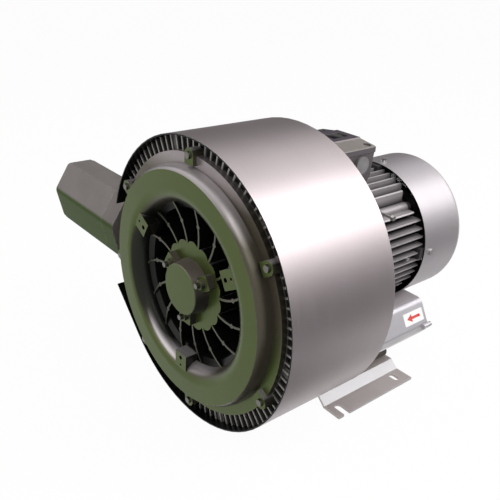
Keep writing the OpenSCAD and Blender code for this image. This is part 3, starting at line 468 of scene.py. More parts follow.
@dataclass(frozen=True)
class CastPaint(Finish):
    """Metallic paint over a casting, with painted light and shade as tones by direction and by place."""

    colour: Colour
    tints: tuple[Tint, ...] = ()
    zones: tuple[Zone, ...] = ()
    metallic: float = 0.45
    roughness: float = 0.42
    sheen: Pattern = Pattern(420.0, 2.0)
    sheen_spread: float = 0.16
    gloss: float = 0.3
    cloud: float = 0.14
    clouds: Pattern = Pattern(28.0, 5.0, (0.35, 0.7))
    grime: Colour = (0.03, 0.03, 0.02)
    # Pale edge colour: wear, and where it is strong, as on the silencers, also a painted highlight along the
    # ridges.
    wear: Colour = (0.50, 0.48, 0.46)
    wear_amount: float = 0.45
    wear_reach: float = 0.0012
    chips: Pattern = Pattern(190.0, 3.0, (0.40, 0.62))
    grain: float = 0.5
    grain_height: float = 0.00025
    grains: Pattern = Pattern(1500.0, 2.0)
    pits: Pattern = Pattern(340.0, 3.0)
    pit_share: float = 0.8

    def fill(self, graph: Graph) -> None:
        """Lays the painted light and shade tones over one another, then mottling, pale edges that are partly
        wear and partly a painted highlight, and cast grain.

        Args:
            graph: The material's nodes.
        """
        colour = self.colour
        for tint in self.tints:
            colour = graph.blend(tint.amount(graph), colour, tint.colour)
        clouds = graph.product(self.clouds.value(graph), self.cloud)
        colour = graph.blend(clouds, colour, self.grime)
        # Pale edges: partly wear and partly a painted highlight.
        pale_edges = graph.product(graph.edge(self.wear_reach), self.chips.value(graph), self.wear_amount)
        colour = graph.blend(pale_edges, colour, self.wear)
        for zone in self.zones:
            colour = graph.blend(zone.amount(graph), colour, zone.colour)
        rough = graph.varied(self.roughness, self.sheen.value(graph), self.sheen_spread)
        pits = graph.product(self.pits.value(graph), self.pit_share)
        grain = graph.math("ADD", self.grains.value(graph), pits)
        graph.surface(Base_Color=colour, Metallic=self.metallic, Roughness=rough,
                      Normal=graph.bump(grain, self.grain_height, self.grain), Specular_IOR_Level=self.gloss)


@dataclass(frozen=True)
class RolledSheet(Finish):
    """Satin sheet metal with fine brushing round the drum."""

    colour: Colour
    shade: Colour
    # Near-black on faces that look toward the shaft or to the front: painted shade inside the drum.
    inside: Colour = (0.014, 0.014, 0.014)
    smears: Pattern = Pattern(9.0, 4.0, (0.3, 0.75))
    smear_amount: float = 0.5
    lines: Pattern = Pattern(1.0, 5.0)
    lines_round: float = 2.2
    lines_along: float = 900.0
    line_tone: Colour = (0.2, 0.19, 0.19)
    line_amount: float = 0.12
    line_height: float = 0.0002
    rim_tone: Colour = (0.75, 0.75, 0.75)
    rim_amount: float = 0.5
    rim_reach: float = 0.0008
    metallic: float = 0.9
    roughness: float = 0.34
    roughness_spread: float = 0.14
    brush: float = 0.25

    def fill(self, graph: Graph) -> None:
        """Brushes the sheet round the shaft and mottles its gloss, and paints its inside nearly black as
        painted shade.

        Args:
            graph: The material's nodes.
        """
        lines = self.lines.value(graph, graph.round_shaft(self.lines_round, self.lines_along))
        smears = graph.product(self.smears.value(graph), self.smear_amount)
        colour = graph.blend(smears, self.colour, self.shade)
        colour = graph.blend(graph.product(lines, self.line_amount), colour, self.line_tone)
        rim = graph.product(graph.edge(self.rim_reach), self.rim_amount)
        colour = graph.blend(rim, colour, self.rim_tone)
        # Painted shade on the inner faces.
        colour = graph.blend(graph.inward(), colour, self.inside)
        rough = graph.varied(self.roughness, lines, self.roughness_spread)
        graph.surface(Base_Color=colour, Metallic=self.metallic, Roughness=rough,
                      Normal=graph.bump(lines, self.line_height, self.brush))


@dataclass(frozen=True)
class BareMetal(Finish):
    """Machined, plated or pressed metal."""

    colour: Colour
    roughness: float = 0.3
    roughness_spread: float = 0.2
    scratch: float = 0.2
    scratch_height: float = 0.0001
    scratches: Pattern = Pattern(700.0, 3.0, stretch=(1.0, 0.12, 1.0))
    tarnish: Colour = (0.10, 0.09, 0.08)
    tarnish_amount: float = 0.3
    stains: Pattern = Pattern(60.0, 4.0, (0.45, 0.75))

    def fill(self, graph: Graph) -> None:
        """Gives the metal fine scratches and a little tarnish.

        Args:
            graph: The material's nodes.
        """
        scratches = self.scratches.value(graph)
        stains = graph.product(self.stains.value(graph), self.tarnish_amount)
        graph.surface(Base_Color=graph.blend(stains, self.colour, self.tarnish), Metallic=1.0,
                      Roughness=graph.varied(self.roughness, scratches, self.roughness_spread),
                      Normal=graph.bump(scratches, self.scratch_height, self.scratch))


@dataclass(frozen=True)
class Moulded(Finish):
    """Moulded plastic or rubber with a fine texture."""

    colour: Colour
    roughness: float = 0.5
    roughness_spread: float = 0.2
    texture: float = 0.3
    texture_height: float = 0.0002
    grains: Pattern = Pattern(900.0, 2.0)
    dust: Colour = (0.6, 0.58, 0.55)
    dust_amount: float = 0.15
    specks: Pattern = Pattern(40.0, 4.0, (0.5, 0.8))
    gloss: float = 0.5

    def fill(self, graph: Graph) -> None:
        """Gives the plastic its texture and a dusty variation.

        Args:
            graph: The material's nodes.
        """
        grains = self.grains.value(graph)
        specks = graph.product(self.specks.value(graph), self.dust_amount)
        graph.surface(Base_Color=graph.blend(specks, self.colour, self.dust), Specular_IOR_Level=self.gloss,
                      Roughness=graph.varied(self.roughness, grains, self.roughness_spread),
                      Normal=graph.bump(grains, self.texture_height, self.texture))


@dataclass(frozen=True)
class Wound(Finish):
    """Varnished copper wire wound round the shaft, or a stack of laminations."""

    colour: Colour
    gap: Colour
    per_metre: float
    metallic: float = 0.8
    roughness: float = 0.38
    band_height: float = 0.0004
    band_waver: float = 0.4
    relief: float = 0.6

    def fill(self, graph: Graph) -> None:
        """Bands the surface along the shaft and bumps each band.

        Args:
            graph: The material's nodes.
        """
        wave = graph.node("TexWave", wave_type="BANDS", bands_direction="Y", Scale=self.per_metre / math.tau,
                          Distortion=self.band_waver)
        graph.link(graph.node("TexCoord").outputs["Object"], wave.inputs["Vector"])
        band = wave.outputs["Fac"]
        graph.surface(Base_Color=graph.blend(band, self.gap, self.colour), Metallic=self.metallic,
                      Roughness=self.roughness, Normal=graph.bump(band, self.band_height, self.relief))


@dataclass(frozen=True)
class Foam(Finish):
    """Open porous foam."""

    colour: Colour
    pore: Colour = (0.02, 0.02, 0.02)
    pores: float = 420.0
    pore_span: Pair = (0.1, 0.5)
    pore_depth: float = 0.001
    relief: float = 0.8
    roughness: float = 0.95

    def fill(self, graph: Graph) -> None:
        """Pits the foam with small cells.

        Args:
            graph: The material's nodes.
        """
        cells = graph.node("TexVoronoi", Scale=self.pores)
        graph.link(graph.node("TexCoord").outputs["Object"], cells.inputs["Vector"])
        depth = graph.ramp(cells.outputs["Distance"], *self.pore_span)
        graph.surface(Base_Color=graph.blend(depth, self.pore, self.colour), Roughness=self.roughness,
                      Normal=graph.bump(depth, self.pore_depth, self.relief))


@dataclass(frozen=True)
class PrintedFilm(Finish):
    """Glossy printed film, such as a flow arrow label."""

    colour: Colour
    faded: Colour = (0.8, 0.8, 0.8)
    fade_amount: float = 0.1
    fading: Pattern = Pattern(120.0, 3.0, (0.4, 0.8))
    ripple: Pattern = Pattern(500.0, 2.0)
    relief: float = 0.2
    relief_height: float = 0.0001
    roughness: float = 0.3

    def fill(self, graph: Graph) -> None:
        """Gives the print a soft gloss and slight fading.

        Args:
            graph: The material's nodes.
        """
        fading = graph.product(self.fading.value(graph), self.fade_amount)
        graph.surface(Base_Color=graph.blend(fading, self.colour, self.faded), Roughness=self.roughness,
                      Normal=graph.bump(self.ripple.value(graph), self.relief_height, self.relief))


# A dark olive laid on front faces: painted shade with a green cast.
OLIVE_SHADE = (0.058, 0.082, 0.016)
# The cover's tints and zones paint light and shade, as listed below.
COVER_PAINT = CastPaint(
    "cover_paint", colour=(0.075, 0.066, 0.048), metallic=0.6, roughness=0.31, wear_amount=0.25, grain=0.1,
    # Tints in order: faces turned up, a lilac painted highlight; inner flank faces turned right and down,
    # painted shade; front faces, the dark olive painted shade; the left inner flank, which faces right,
    # painted shade; lower-left inner flank faces turned up and right, a lilac painted highlight; faces near
    # the hub turned right and up, painted shade; faces turned down and left, painted shade.
    tints=(Tint((0.05, -0.2, 0.98), 0.70, 0.95, (0.46, 0.42, 0.43)),
           Tint((0.86, -0.45, -0.22), 0.70, 0.90, (0.012, 0.012, 0.009), 0.139),
           Tint((-0.1, -1.0, -0.1), 0.70, 0.93, OLIVE_SHADE),
           Tint((0.62, -0.77, 0.12), 0.90, 0.965, (0.012, 0.012, 0.009), 0.143),
           Tint((0.35, -0.62, 0.70), 0.94, 0.985, (0.34, 0.31, 0.32), 0.143),
           Tint((0.90, 0.0, 0.43), 0.40, 0.75, (0.012, 0.012, 0.010), 0.121),
           Tint((-0.64, -0.36, -0.68), 0.55, 0.90, (0.010, 0.011, 0.007))),
    # Zones in order: the flange band brown above the shaft and lilac near the top, painted light that grows
    # toward the top; the hub recess and rib sides nearly black, painted shade; the rib fronts paler, a
    # painted highlight.
    zones=(Zone((0.1600, 0.1795), (-0.3160, -0.3000), (0.080, 0.069, 0.050), 0.0006, (-0.03, 0.03)),
           Zone((0.1600, 0.1795), (-0.3160, -0.3000), (0.27, 0.24, 0.24), 0.0006, (0.135, 0.165)),
           Zone((0.0600, 0.1150), (-0.3126, -0.2700), (0.010, 0.010, 0.009), 0.0010),
           Zone((0.0640, 0.1105), (-0.3136, -0.3126), (0.080, 0.080, 0.060), 0.0003)))
# Painted light and shade on the bearing cap: faces turned up a lighter brown, front faces the dark olive
# painted shade.
CAP_PAINT = CastPaint(
    "cap_paint", colour=(0.030, 0.027, 0.024), metallic=0.5, roughness=0.40, wear_amount=0.3,
    tints=(Tint((0.1, 0.0, 1.0), 0.1, 0.8, (0.16, 0.135, 0.115)),
           Tint((0.0, -1.0, 0.0), 0.5, 0.95, OLIVE_SHADE)))
HOUSING_CAST = CastPaint("housing_cast", colour=(0.10, 0.095, 0.09), metallic=0.5, roughness=0.5, grain=0.8,
                         zones=(Zone((0.1740, 0.1980), (-0.3070, -0.3040), (0.27, 0.26, 0.24)),))
# The zone between the fins, nearly black, is painted shade.
MOTOR_PAINT = CastPaint("motor_paint", colour=(0.40, 0.37, 0.38), metallic=0.4, roughness=0.4,
                        zones=(Zone((0.0400, 0.1010), (-0.1300, 0.0390), (0.020, 0.018, 0.017), 0.010),))
SHIELD_PAINT = CastPaint("shield_paint", colour=(0.06, 0.056, 0.058), metallic=0.4, roughness=0.45)
# The box's tints paint light and shade by side: faces turned a little to the right lighter, faces turned
# fully right and to the front darker.
BOX_PAINT = CastPaint(
    "box_paint", colour=(0.105, 0.088, 0.108), metallic=0.4, roughness=0.38, wear_amount=0.3,
    tints=(Tint((1.0, 0.0, 0.0), 0.05, 0.13, (0.29, 0.26, 0.245)),
           Tint((1.0, 0.0, 0.0), 0.50, 0.90, (0.15, 0.135, 0.145)),
           Tint((0.0, -1.0, 0.0), 0.50, 0.90, (0.10, 0.095, 0.08))))
# Lower front faces take a dark olive, painted shade with a green cast; the strong pale edges are partly wear
# and partly a painted highlight along the ridges.
SILENCER_PAINT = CastPaint(
    "silencer_paint", colour=(0.185, 0.168, 0.160), metallic=0.08, roughness=0.45, gloss=0.06,
    wear_amount=0.8,
    tints=(Tint((0.0, -0.97, -0.23), 0.70, 0.90, (0.028, 0.052, 0.003)),))
# Lower front faces take the same dark olive painted shade; the strong pale edges are partly wear and partly
# a painted highlight.
ADAPTER_PAINT = CastPaint(
    "adapter_paint", colour=(0.160, 0.143, 0.136), metallic=0.08, roughness=0.45, gloss=0.06,
    wear_amount=0.8,
    tints=(Tint((0.0, -0.97, -0.23), 0.70, 0.90, (0.026, 0.048, 0.003)),))
# Faces turned up and faces turned right and down are painted paler, a painted highlight; the white edges are
# partly wear and partly a painted highlight.
INLET_PAINT = CastPaint("inlet_paint", colour=(0.50, 0.48, 0.51), metallic=0.5, roughness=0.34, cloud=0.08,
                        tints=(Tint((0.0, 0.0, 1.0), 0.93, 0.99, (0.66, 0.62, 0.63)),
                               Tint((0.94, 0.0, -0.35), 0.90, 0.99, (0.74, 0.72, 0.72))),
                        wear=(0.8, 0.8, 0.8), wear_amount=0.7)
SHROUD_METAL = RolledSheet("shroud_metal", colour=(0.53, 0.468, 0.482), shade=(0.46, 0.40, 0.40),
                           roughness=0.38)
COWL_PAINT = RolledSheet("cowl_paint", colour=(0.46, 0.43, 0.45), shade=(0.40, 0.37, 0.39), metallic=0.8,
                         roughness=0.42, brush=0.1)
# Faces turned right and up take a cooler grey: painted light on the lit slope.
FOOT_PAINT = CastPaint("foot_paint", colour=(0.50, 0.45, 0.44), metallic=0.35, roughness=0.38, grain=0.25,
                       cloud=0.06, tints=(Tint((1.0, 0.0, 0.6), 0.70, 0.92, (0.50, 0.49, 0.50)),),
                       wear=(0.75, 0.74, 0.72))
SADDLE_IRON = CastPaint("saddle_iron", colour=(0.090, 0.080, 0.072), metallic=0.2, roughness=0.6, grain=1.0,
                        wear=(0.2, 0.18, 0.17))
IMPELLER_METAL = BareMetal("impeller_metal", colour=(0.62, 0.63, 0.64), roughness=0.38)
STEEL = BareMetal("steel", colour=(0.16, 0.155, 0.14), roughness=0.34)
ZINC_STEEL = BareMetal("zinc_steel", colour=(0.55, 0.54, 0.52), roughness=0.30)
# Black wire for the cowl's gauze, a dark screen that stands in for the shade inside the cowl's mouth.
BLACK_WIRE = BareMetal("black_wire", colour=(0.02, 0.02, 0.02), roughness=0.5)
CORE_STEEL = Wound("core_steel", colour=(0.25, 0.26, 0.28), gap=(0.07, 0.07, 0.08), per_metre=2000.0)
COPPER = Wound("copper", colour=(0.55, 0.22, 0.08), gap=(0.16, 0.05, 0.02), per_metre=1100.0)
BLACK_PLASTIC = Moulded("black_plastic", colour=(0.02, 0.02, 0.022), roughness=0.42)
BLANK_BLACK = Moulded("blank_black", colour=(0.003, 0.003, 0.004), roughness=0.7, gloss=0.08)
PLUG_GREY = Moulded("plug_grey", colour=(0.17, 0.16, 0.165), roughness=0.42)
GASKET_RUBBER = Moulded("gasket_rubber", colour=(0.012, 0.012, 0.012), roughness=0.75)
LINING_FOAM = Foam("lining_foam", colour=(0.13, 0.13, 0.135))
LABEL_WHITE = PrintedFilm("label_white", colour=(0.86, 0.85, 0.84))
LABEL_RED = PrintedFilm("label_red", colour=(0.62, 0.03, 0.02))

SLOT_FINISH: dict[str, Finish] = {finish.name: finish for finish in (
    COVER_PAINT, SHROUD_METAL, IMPELLER_METAL, MOTOR_PAINT, SILENCER_PAINT, STEEL, ZINC_STEEL, COWL_PAINT,
    FOOT_PAINT, SADDLE_IRON, CORE_STEEL, COPPER, BLACK_PLASTIC, GASKET_RUBBER, LINING_FOAM)}
SLOT_FINISH["housing_metal"] = HOUSING_CAST


# Mesh tools


def new_piece(name: str, mesh: bpy.types.Mesh, finish: Finish | None = None) -> bpy.types.Object:
    """Links a mesh to the scene as a piece.

    Args:
        name: The piece's name.
        mesh: Its mesh, in place.
        finish: Its finish, if one is given.

    Returns:
        The piece.
    """
    piece = bpy.data.objects.new(name, mesh)
    bpy.context.scene.collection.objects.link(piece)
    if finish is not None:
        mesh.materials.clear()
        mesh.materials.append(finish.make())
    return piece


def smooth(mesh: bpy.types.Mesh, angle: float = SHARP_ANGLE) -> None:
    """Shades a mesh smooth, with edges sharper than the angle left sharp."""
    mesh.shade_smooth()
    mesh.set_sharp_from_angle(angle=angle)


def apply_modifiers(piece: bpy.types.Object) -> None:
    """Turns a piece with modifiers into a plain mesh and removes the modifiers.

    Args:
        piece: The piece.
    """
    graph = bpy.context.evaluated_depsgraph_get()
    graph.update()
    mesh = bpy.data.meshes.new_from_object(piece.evaluated_get(graph), depsgraph=graph)
    piece.modifiers.clear()
    piece.data = mesh


def round_edges(piece: bpy.types.Object, width: float) -> None:
    """Rounds a piece's sharp edges and shades it smooth, with large faces kept flat.

    Args:
        piece: The piece.
        width: Width of the rounding.
    """
    bevel = piece.modifiers.new("rounding", "BEVEL")
    bevel.width = width
    bevel.segments = 2
    bevel.limit_method = "ANGLE"
    bevel.angle_limit = SHARP_ANGLE
    bevel.use_clamp_overlap = True
    bevel.miter_outer = "MITER_ARC"
    apply_modifiers(piece)
    smooth(piece.data)
    weights = piece.modifiers.new("weights", "WEIGHTED_NORMAL")
    weights.weight = LARGE_FACE_WEIGHT
    weights.keep_sharp = True
    apply_modifiers(piece)


def plate(name: str, outline: Sequence[Pair], origin: Vector, across: Vector, up: Vector,
          thickness: float, finish: Finish) -> bpy.types.Object:
    """Makes a thin flat piece from an outline on a plane.

    Args:
        name: The piece's name.
        outline: Points on the plane, anticlockwise.
        origin: The plane's zero point.
        across: The plane's first direction.
        up: The plane's second direction.
        thickness: How far the piece stands off the plane.
        finish: The piece's finish.

    Returns:
        The piece.
    """
    out = across.cross(up).normalized() * thickness
    shape = bmesh.new()
    low = [shape.verts.new(origin + across * x + up * y) for x, y in outline]
    high = [shape.verts.new(vert.co + out) for vert in low]
    shape.faces.new(high)
    shape.faces.new(list(reversed(low)))
    for i in range(len(low)):
        j = (i + 1) % len(low)
        shape.faces.new((low[i], low[j], high[j], high[i]))
    mesh = bpy.data.meshes.new(name)
    shape.to_mesh(mesh)
    shape.free()
    return new_piece(name, mesh, finish)


def rounded_outline(low: Pair, high: Pair, radius: float) -> list[Pair]:
    """Draws a rectangle with rounded corners.

    Args:
        low: Its lowest corner.
        high: Its highest corner.
        radius: The corners' radius.

    Returns:
        Its points, anticlockwise.
    """
    corners = ((high[0], high[1], 0), (low[0], high[1], 90), (low[0], low[1], 180), (high[0], low[1], 270))
    outline = []
    for x, y, start in corners:
        middle_x = x + (radius if x == low[0] else -radius)
        middle_y = y + (radius if y == low[1] else -radius)
        for step in range(CORNER_STEPS + 1):
            angle = math.radians(start + 90 * step / CORNER_STEPS)
            outline.append((middle_x + radius * math.cos(angle), middle_y + radius * math.sin(angle)))
    return outline


# Geometry Nodes


class Recipe(Nodes):
    """A Geometry Nodes tree that is built in code and run on a piece."""

    def __init__(self, name: str) -> None:
        """Starts an empty tree that takes and gives geometry.

        Args:
            name: The tree's name.
        """
        super().__init__(bpy.data.node_groups.new(name, "GeometryNodeTree"))
        for way in ("INPUT", "OUTPUT"):
            self.tree.interface.new_socket("Geometry", in_out=way, socket_type="NodeSocketGeometry")
        self.inlet = self.tree.nodes.new("NodeGroupInput")
        self.identifiers: dict[str, str] = {}

    def size(self, name: str, kind: str = "Float") -> Socket:
        """Adds a named input.

        Args:
            name: The input's name.
            kind: Its type name without the NodeSocket prefix.

        Returns:
            Its socket inside the tree.
        """
        made = self.tree.interface.new_socket(name, in_out="INPUT", socket_type="NodeSocket" + kind)
        self.identifiers[name] = made.identifier
        return self.inlet.outputs[name]

    def node(self, kind: str, settings: dict[str, object] | None = None, **inputs: object) -> bpy.types.Node:
        """Adds a node.

        Args:
            kind: The node's type name.
            settings: The node's properties.
            **inputs: Inputs by name with spaces written as underscores, as values or sockets.

        Returns:
            The new node.
        """
        made = self.tree.nodes.new(kind)
        for key, value in (settings or {}).items():
            setattr(made, key, value)
        self.feed_named(made, inputs)
        return made

    def vector(self, x: object = 0.0, y: object = 0.0, z: object = 0.0) -> Socket:
        """Joins three sockets or numbers to a vector."""
        return self.node("ShaderNodeCombineXYZ", X=x, Y=y, Z=z).outputs[0]

    def cylinder(self, sides: int, radius: Socket, depth: object) -> Socket:
        """Adds an upright cylinder about the origin."""
        return self.node("GeometryNodeMeshCylinder", Vertices=sides, Radius=radius, Depth=depth).outputs[0]

    def moved(self, geometry: Socket, shift: Socket, turn: Point = (0.0, 0.0, 0.0)) -> Socket:
        """Turns and moves a geometry."""
        made = self.node("GeometryNodeTransform", Geometry=geometry, Translation=shift, Rotation=turn)
        return made.outputs[0]

    def sunk(self, geometry: Socket, depth: Socket) -> Socket:
        """Moves a geometry down by a depth."""
        return self.moved(geometry, self.vector(z=self.product(depth, -1.0)))

    def join(self, *parts: Socket) -> Socket:
        """Joins several geometries.

        Args:
            *parts: Their sockets.

        Returns:
            The joined geometry's socket.
        """
        made = self.node("GeometryNodeJoinGeometry")
        for part in parts:
            self.link(part, made.inputs[0])
        return made.outputs[0]

    def finish(self, geometry: Socket) -> None:
        """Ends the tree: copies become real, and the finish is set.

        Args:
            geometry: The socket of what has been made.
        """
        real = self.node("GeometryNodeRealizeInstances", Geometry=geometry).outputs[0]
        finish = self.size("Finish", "Material")
        painted = self.node("GeometryNodeSetMaterial", Geometry=real, Material=finish)
        self.link(painted.outputs[0], self.tree.nodes.new("NodeGroupOutput").inputs[0])

    def run(self, piece: bpy.types.Object, finish: Finish, **sizes: float) -> None:
        """Runs the tree on a piece and leaves a plain mesh.

        Args:
            piece: The piece whose mesh goes in.
            finish: The finish of the result.
            **sizes: Inputs by name with spaces written as underscores.
        """
        modifier = piece.modifiers.new(self.tree.name, "NODES")
        modifier.node_group = self.tree
        modifier[self.identifiers["Finish"]] = finish.make()
        for key, value in sizes.items():
            modifier[self.identifiers[key.replace("_", " ")]] = value
        apply_modifiers(piece)


@dataclass(frozen=True)
class Screw:
    """The sizes of a screw and its washer. The hollow ends just under the head's top, so it doesn't show."""

    head_radius: float
    head_height: float
    shank_radius: float
    length: float
    washer_radius: float
    hollow_radius: float = 0.0001
    head_sides: int = 32

    def sizes(self) -> dict[str, float]:
        """The sizes as the screw recipe names its inputs."""
        return {name.capitalize(): value for name, value in asdict(self).items()}


def screw_recipe(taper: float = 0.9, hollow_rise: float = 0.45, washer_share: float = 0.16,
                 spin_step: float = 0.7) -> Recipe:
    """Builds the tree that puts a screw on each vertex of the mesh that goes in.

    The vertex attribute axis says which way the head points, and the vertex is the middle of the head's top.

    Args:
        taper: The top's radius as a share of the head's radius.
        hollow_rise: How far the hollow stands up in the head, as a share of its height.
        washer_share: The washer's thickness as a share of the head's height.
        spin_step: How much further each screw is turned than the one before, in radians.

    Returns:
        The tree.
    """
    recipe = Recipe("screws")
    head_r, head_h = recipe.size("Head radius"), recipe.size("Head height")
    hollow_r, sides = recipe.size("Hollow radius"), recipe.size("Head sides", "Int")
    shank_r, length = recipe.size("Shank radius"), recipe.size("Length")
    washer_r = recipe.size("Washer radius")
    head = recipe.node("GeometryNodeMeshCone", Vertices=sides, Radius_Top=recipe.product(head_r, taper),
                       Radius_Bottom=head_r, Depth=head_h).outputs[0]
    hollow = recipe.moved(recipe.cylinder(HEXAGON, hollow_r, head_h),
                          recipe.vector(z=recipe.product(head_h, hollow_rise)))
    cut = recipe.node("GeometryNodeMeshBoolean", {"operation": "DIFFERENCE"})
    recipe.feed(cut.inputs[:2], (recipe.sunk(head, head_h), recipe.sunk(hollow, head_h)))
    shank_depth = recipe.math("ADD", head_h, recipe.product(length, 0.5))
    washer_t = recipe.product(head_h, washer_share)
    washer_depth = recipe.math("SUBTRACT", head_h, recipe.product(washer_t, 0.5))
    shank = recipe.sunk(recipe.cylinder(SHANK_SIDES, shank_r, length), shank_depth)
    washer = recipe.sunk(recipe.cylinder(WASHER_SIDES, washer_r, washer_t), washer_depth)
    unit = recipe.join(cut.outputs[0], shank, washer)
    axis = recipe.node("GeometryNodeInputNamedAttribute", {"data_type": "FLOAT_VECTOR"}, Name="axis")
    spin = recipe.product(recipe.node("GeometryNodeInputIndex").outputs[0], spin_step)
    start = recipe.node("FunctionNodeEulerToRotation", Euler=recipe.vector(z=spin)).outputs[0]
    turned = recipe.node("FunctionNodeAlignRotationToVector", {"axis": "Z"}, Rotation=start,
                         Vector=axis.outputs[0])
    placed = recipe.node("GeometryNodeInstanceOnPoints", Points=recipe.inlet.outputs[0], Instance=unit,
                         Rotation=turned.outputs[0])
    recipe.finish(placed.outputs[0])
    return recipe


def gauze_recipe() -> Recipe:
    """Builds the tree of a round black wire gauze across the shaft, with level wires behind upright ones. In
    the fan cowl it stands in for the shade in the cowl's mouth.

    Returns:
        The tree.
    """
    recipe = Recipe("gauze")
    radius, pitch = recipe.size("Gauze radius"), recipe.size("Pitch")
    wire, station = recipe.size("Wire radius"), recipe.size("Station")
    count = recipe.math("FLOOR", recipe.math("DIVIDE", recipe.product(radius, 2.0), pitch))
    first = recipe.product(recipe.math("SUBTRACT", count, 1.0), recipe.product(pitch, -0.5))
    row = recipe.node("GeometryNodeMeshLine", Count=count, Start_Location=recipe.vector(first),
                      Offset=recipe.vector(pitch)).outputs[0]
    place = recipe.node("GeometryNodeInputPosition").outputs[0]
    across = recipe.node("ShaderNodeSeparateXYZ", Vector=place).outputs[0]
    square = recipe.math("SUBTRACT", recipe.product(radius, radius), recipe.product(across, across))
    length = recipe.product(recipe.math("SQRT", square), 2.0)
    bar = recipe.cylinder(HEXAGON, wire, 1.0)
    upright = recipe.node("GeometryNodeInstanceOnPoints", Points=row, Instance=bar,
                          Scale=recipe.vector(1.0, 1.0, length)).outputs[0]
    level = recipe.moved(upright, recipe.vector(y=recipe.product(wire, 2.0)), (0.0, math.pi / 2, 0.0))
    recipe.finish(recipe.moved(recipe.join(upright, level), recipe.vector(y=station, z=SHAFT_HEIGHT)))
    return recipe


# Dressing


class Dresser:
    """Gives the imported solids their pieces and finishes."""

    def __init__(self, frame: dict) -> None:
        """Keeps the frame and reads each node's body and material slot.
        """
        self.nodes: dict[str, bpy.types.Object] = frame["nodes"]
        record = frame["record"]
        self.slots = {part["node"]: part["material_slot"] for part in record["subparts"]}
        groups = record["behaviour"]["bodies"]
        self.bodies = {node: body for body, members in groups.items() for node in members}
        self.screws = screw_recipe()

    def finish(self, node: str) -> Finish:
        """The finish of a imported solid's material slot."""
        return SLOT_FINISH[self.slots[node]]

    def paint(self, node: str) -> None:
        """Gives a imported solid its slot's finish."""
        self.nodes[node].data.materials.clear()
        self.nodes[node].data.materials.append(self.finish(node).make())

    def adopt(self, piece: bpy.types.Object, node: str) -> None:
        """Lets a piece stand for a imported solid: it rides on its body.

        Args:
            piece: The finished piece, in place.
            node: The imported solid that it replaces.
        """
        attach(piece, self.bodies[node])
        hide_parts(node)
        LOG.info("%s stands for %s", piece.name, node)

    def add(self, piece: bpy.types.Object, beside: str, slot: str) -> None:
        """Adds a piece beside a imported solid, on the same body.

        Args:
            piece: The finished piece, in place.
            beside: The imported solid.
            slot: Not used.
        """
        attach(piece, self.bodies[beside])
        LOG.info("%s goes with %s", piece.name, beside)

    def copied(self, node: str) -> bmesh.types.BMesh:
        """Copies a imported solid, with its triangles merged and flat faces joined.

        Args:
            node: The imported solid.

        Returns:
            The copy.
        """
        shape = bmesh.new()
        shape.from_mesh(self.nodes[node].data)
        bmesh.ops.remove_doubles(shape, verts=shape.verts, dist=WELD_DISTANCE)
        bmesh.ops.dissolve_degenerate(shape, dist=SLIVER, edges=shape.edges)
        bmesh.ops.dissolve_limit(shape, angle_limit=FLAT_ANGLE, verts=shape.verts, edges=shape.edges,
                                 use_dissolve_boundaries=False)
        return shape

    def soften(self, node: str, width: float, finish: Finish | None = None) -> None:
        """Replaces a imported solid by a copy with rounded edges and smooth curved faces.

        Args:
            node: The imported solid.
            width: Width of the rounding.
            finish: The finish, if not the slot's own.
        """
        shape = self.copied(node)
        mesh = bpy.data.meshes.new(node + "_shape")
        shape.to_mesh(mesh)
        shape.free()
        for name in ("custom_normal", "sharp_edge", "sharp_face"):
            if name in mesh.attributes:
                mesh.attributes.remove(mesh.attributes[name])
        piece = new_piece(node + "_piece", mesh, finish or self.finish(node))
        round_edges(piece, width)
        self.adopt(piece, node)

    def islands(self, node: str) -> list[tuple[Vector, Vector]]:
        """Finds each separate solid of a node.

        Args:
            node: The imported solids.

        Returns:
            Their lowest and highest corners, in a steady order.
        """
        shape = self.copied(node)
        found = []
        left = set(shape.verts)
        while left:
            stack = [left.pop()]
            island = list(stack)
            while stack:
                linked = {edge.other_vert(vert) for vert in [stack.pop()] for edge in vert.link_edges} & left
                left -= linked
                stack.extend(linked)
                island.extend(linked)
            found.append((Vector([min(vert.co[i] for vert in island) for i in range(3)]),
                          Vector([max(vert.co[i] for vert in island) for i in range(3)])))
        shape.free()
        return sorted(found, key=lambda corners: tuple(round(value, PLACE_DIGITS) for value in corners[0]))

    def screws_at(self, name: str, places: Sequence[Vector], axes: Sequence[Vector], screw: Screw,
                  finish: Finish) -> bpy.types.Object:
        """Makes one piece of detailed screws.

        Args:
            name: The piece's name.
            places: The middle of each head's top.
            axes: The way each head points.
            screw: The screws' sizes.
            finish: Their finish.

        Returns:
            The piece.
        """
        mesh = bpy.data.meshes.new(name)
        mesh.from_pydata(places, [], [])
        attribute = mesh.attributes.new("axis", "FLOAT_VECTOR", "POINT")
        attribute.data.foreach_set("vector", [value for axis in axes for value in axis])
        piece = new_piece(name, mesh)
        self.screws.run(piece, finish, **screw.sizes())
        smooth(piece.data, SCREW_ANGLE)
        return piece

    def fasteners(self, node: str, axis_at: Callable[[Vector], Vector], screw: Screw,
                  finish: Finish) -> None:
        """Puts a detailed screw in the place of each separate solid of a node.

        Args:
            node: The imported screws.
            axis_at: Says which way the head points, from the middle of a solid.
            screw: The screws' sizes.
            finish: Their finish.
        """
        places, axes = [], []
        for low, high in self.islands(node):
            middle = (low + high) / 2
            axis = axis_at(middle)
            reach = sum(abs(axis[i]) * (high[i] - low[i]) for i in range(3)) / 2
            places.append(middle + axis * reach)
            axes.append(axis)
        self.adopt(self.screws_at(node + "_piece", places, axes, screw, finish), node)


def pointing(axis: Axis) -> Callable[[Vector], Vector]:
    """Says that every head points one way."""
    return lambda middle: Vector(axis.value)


# Sub-assemblies


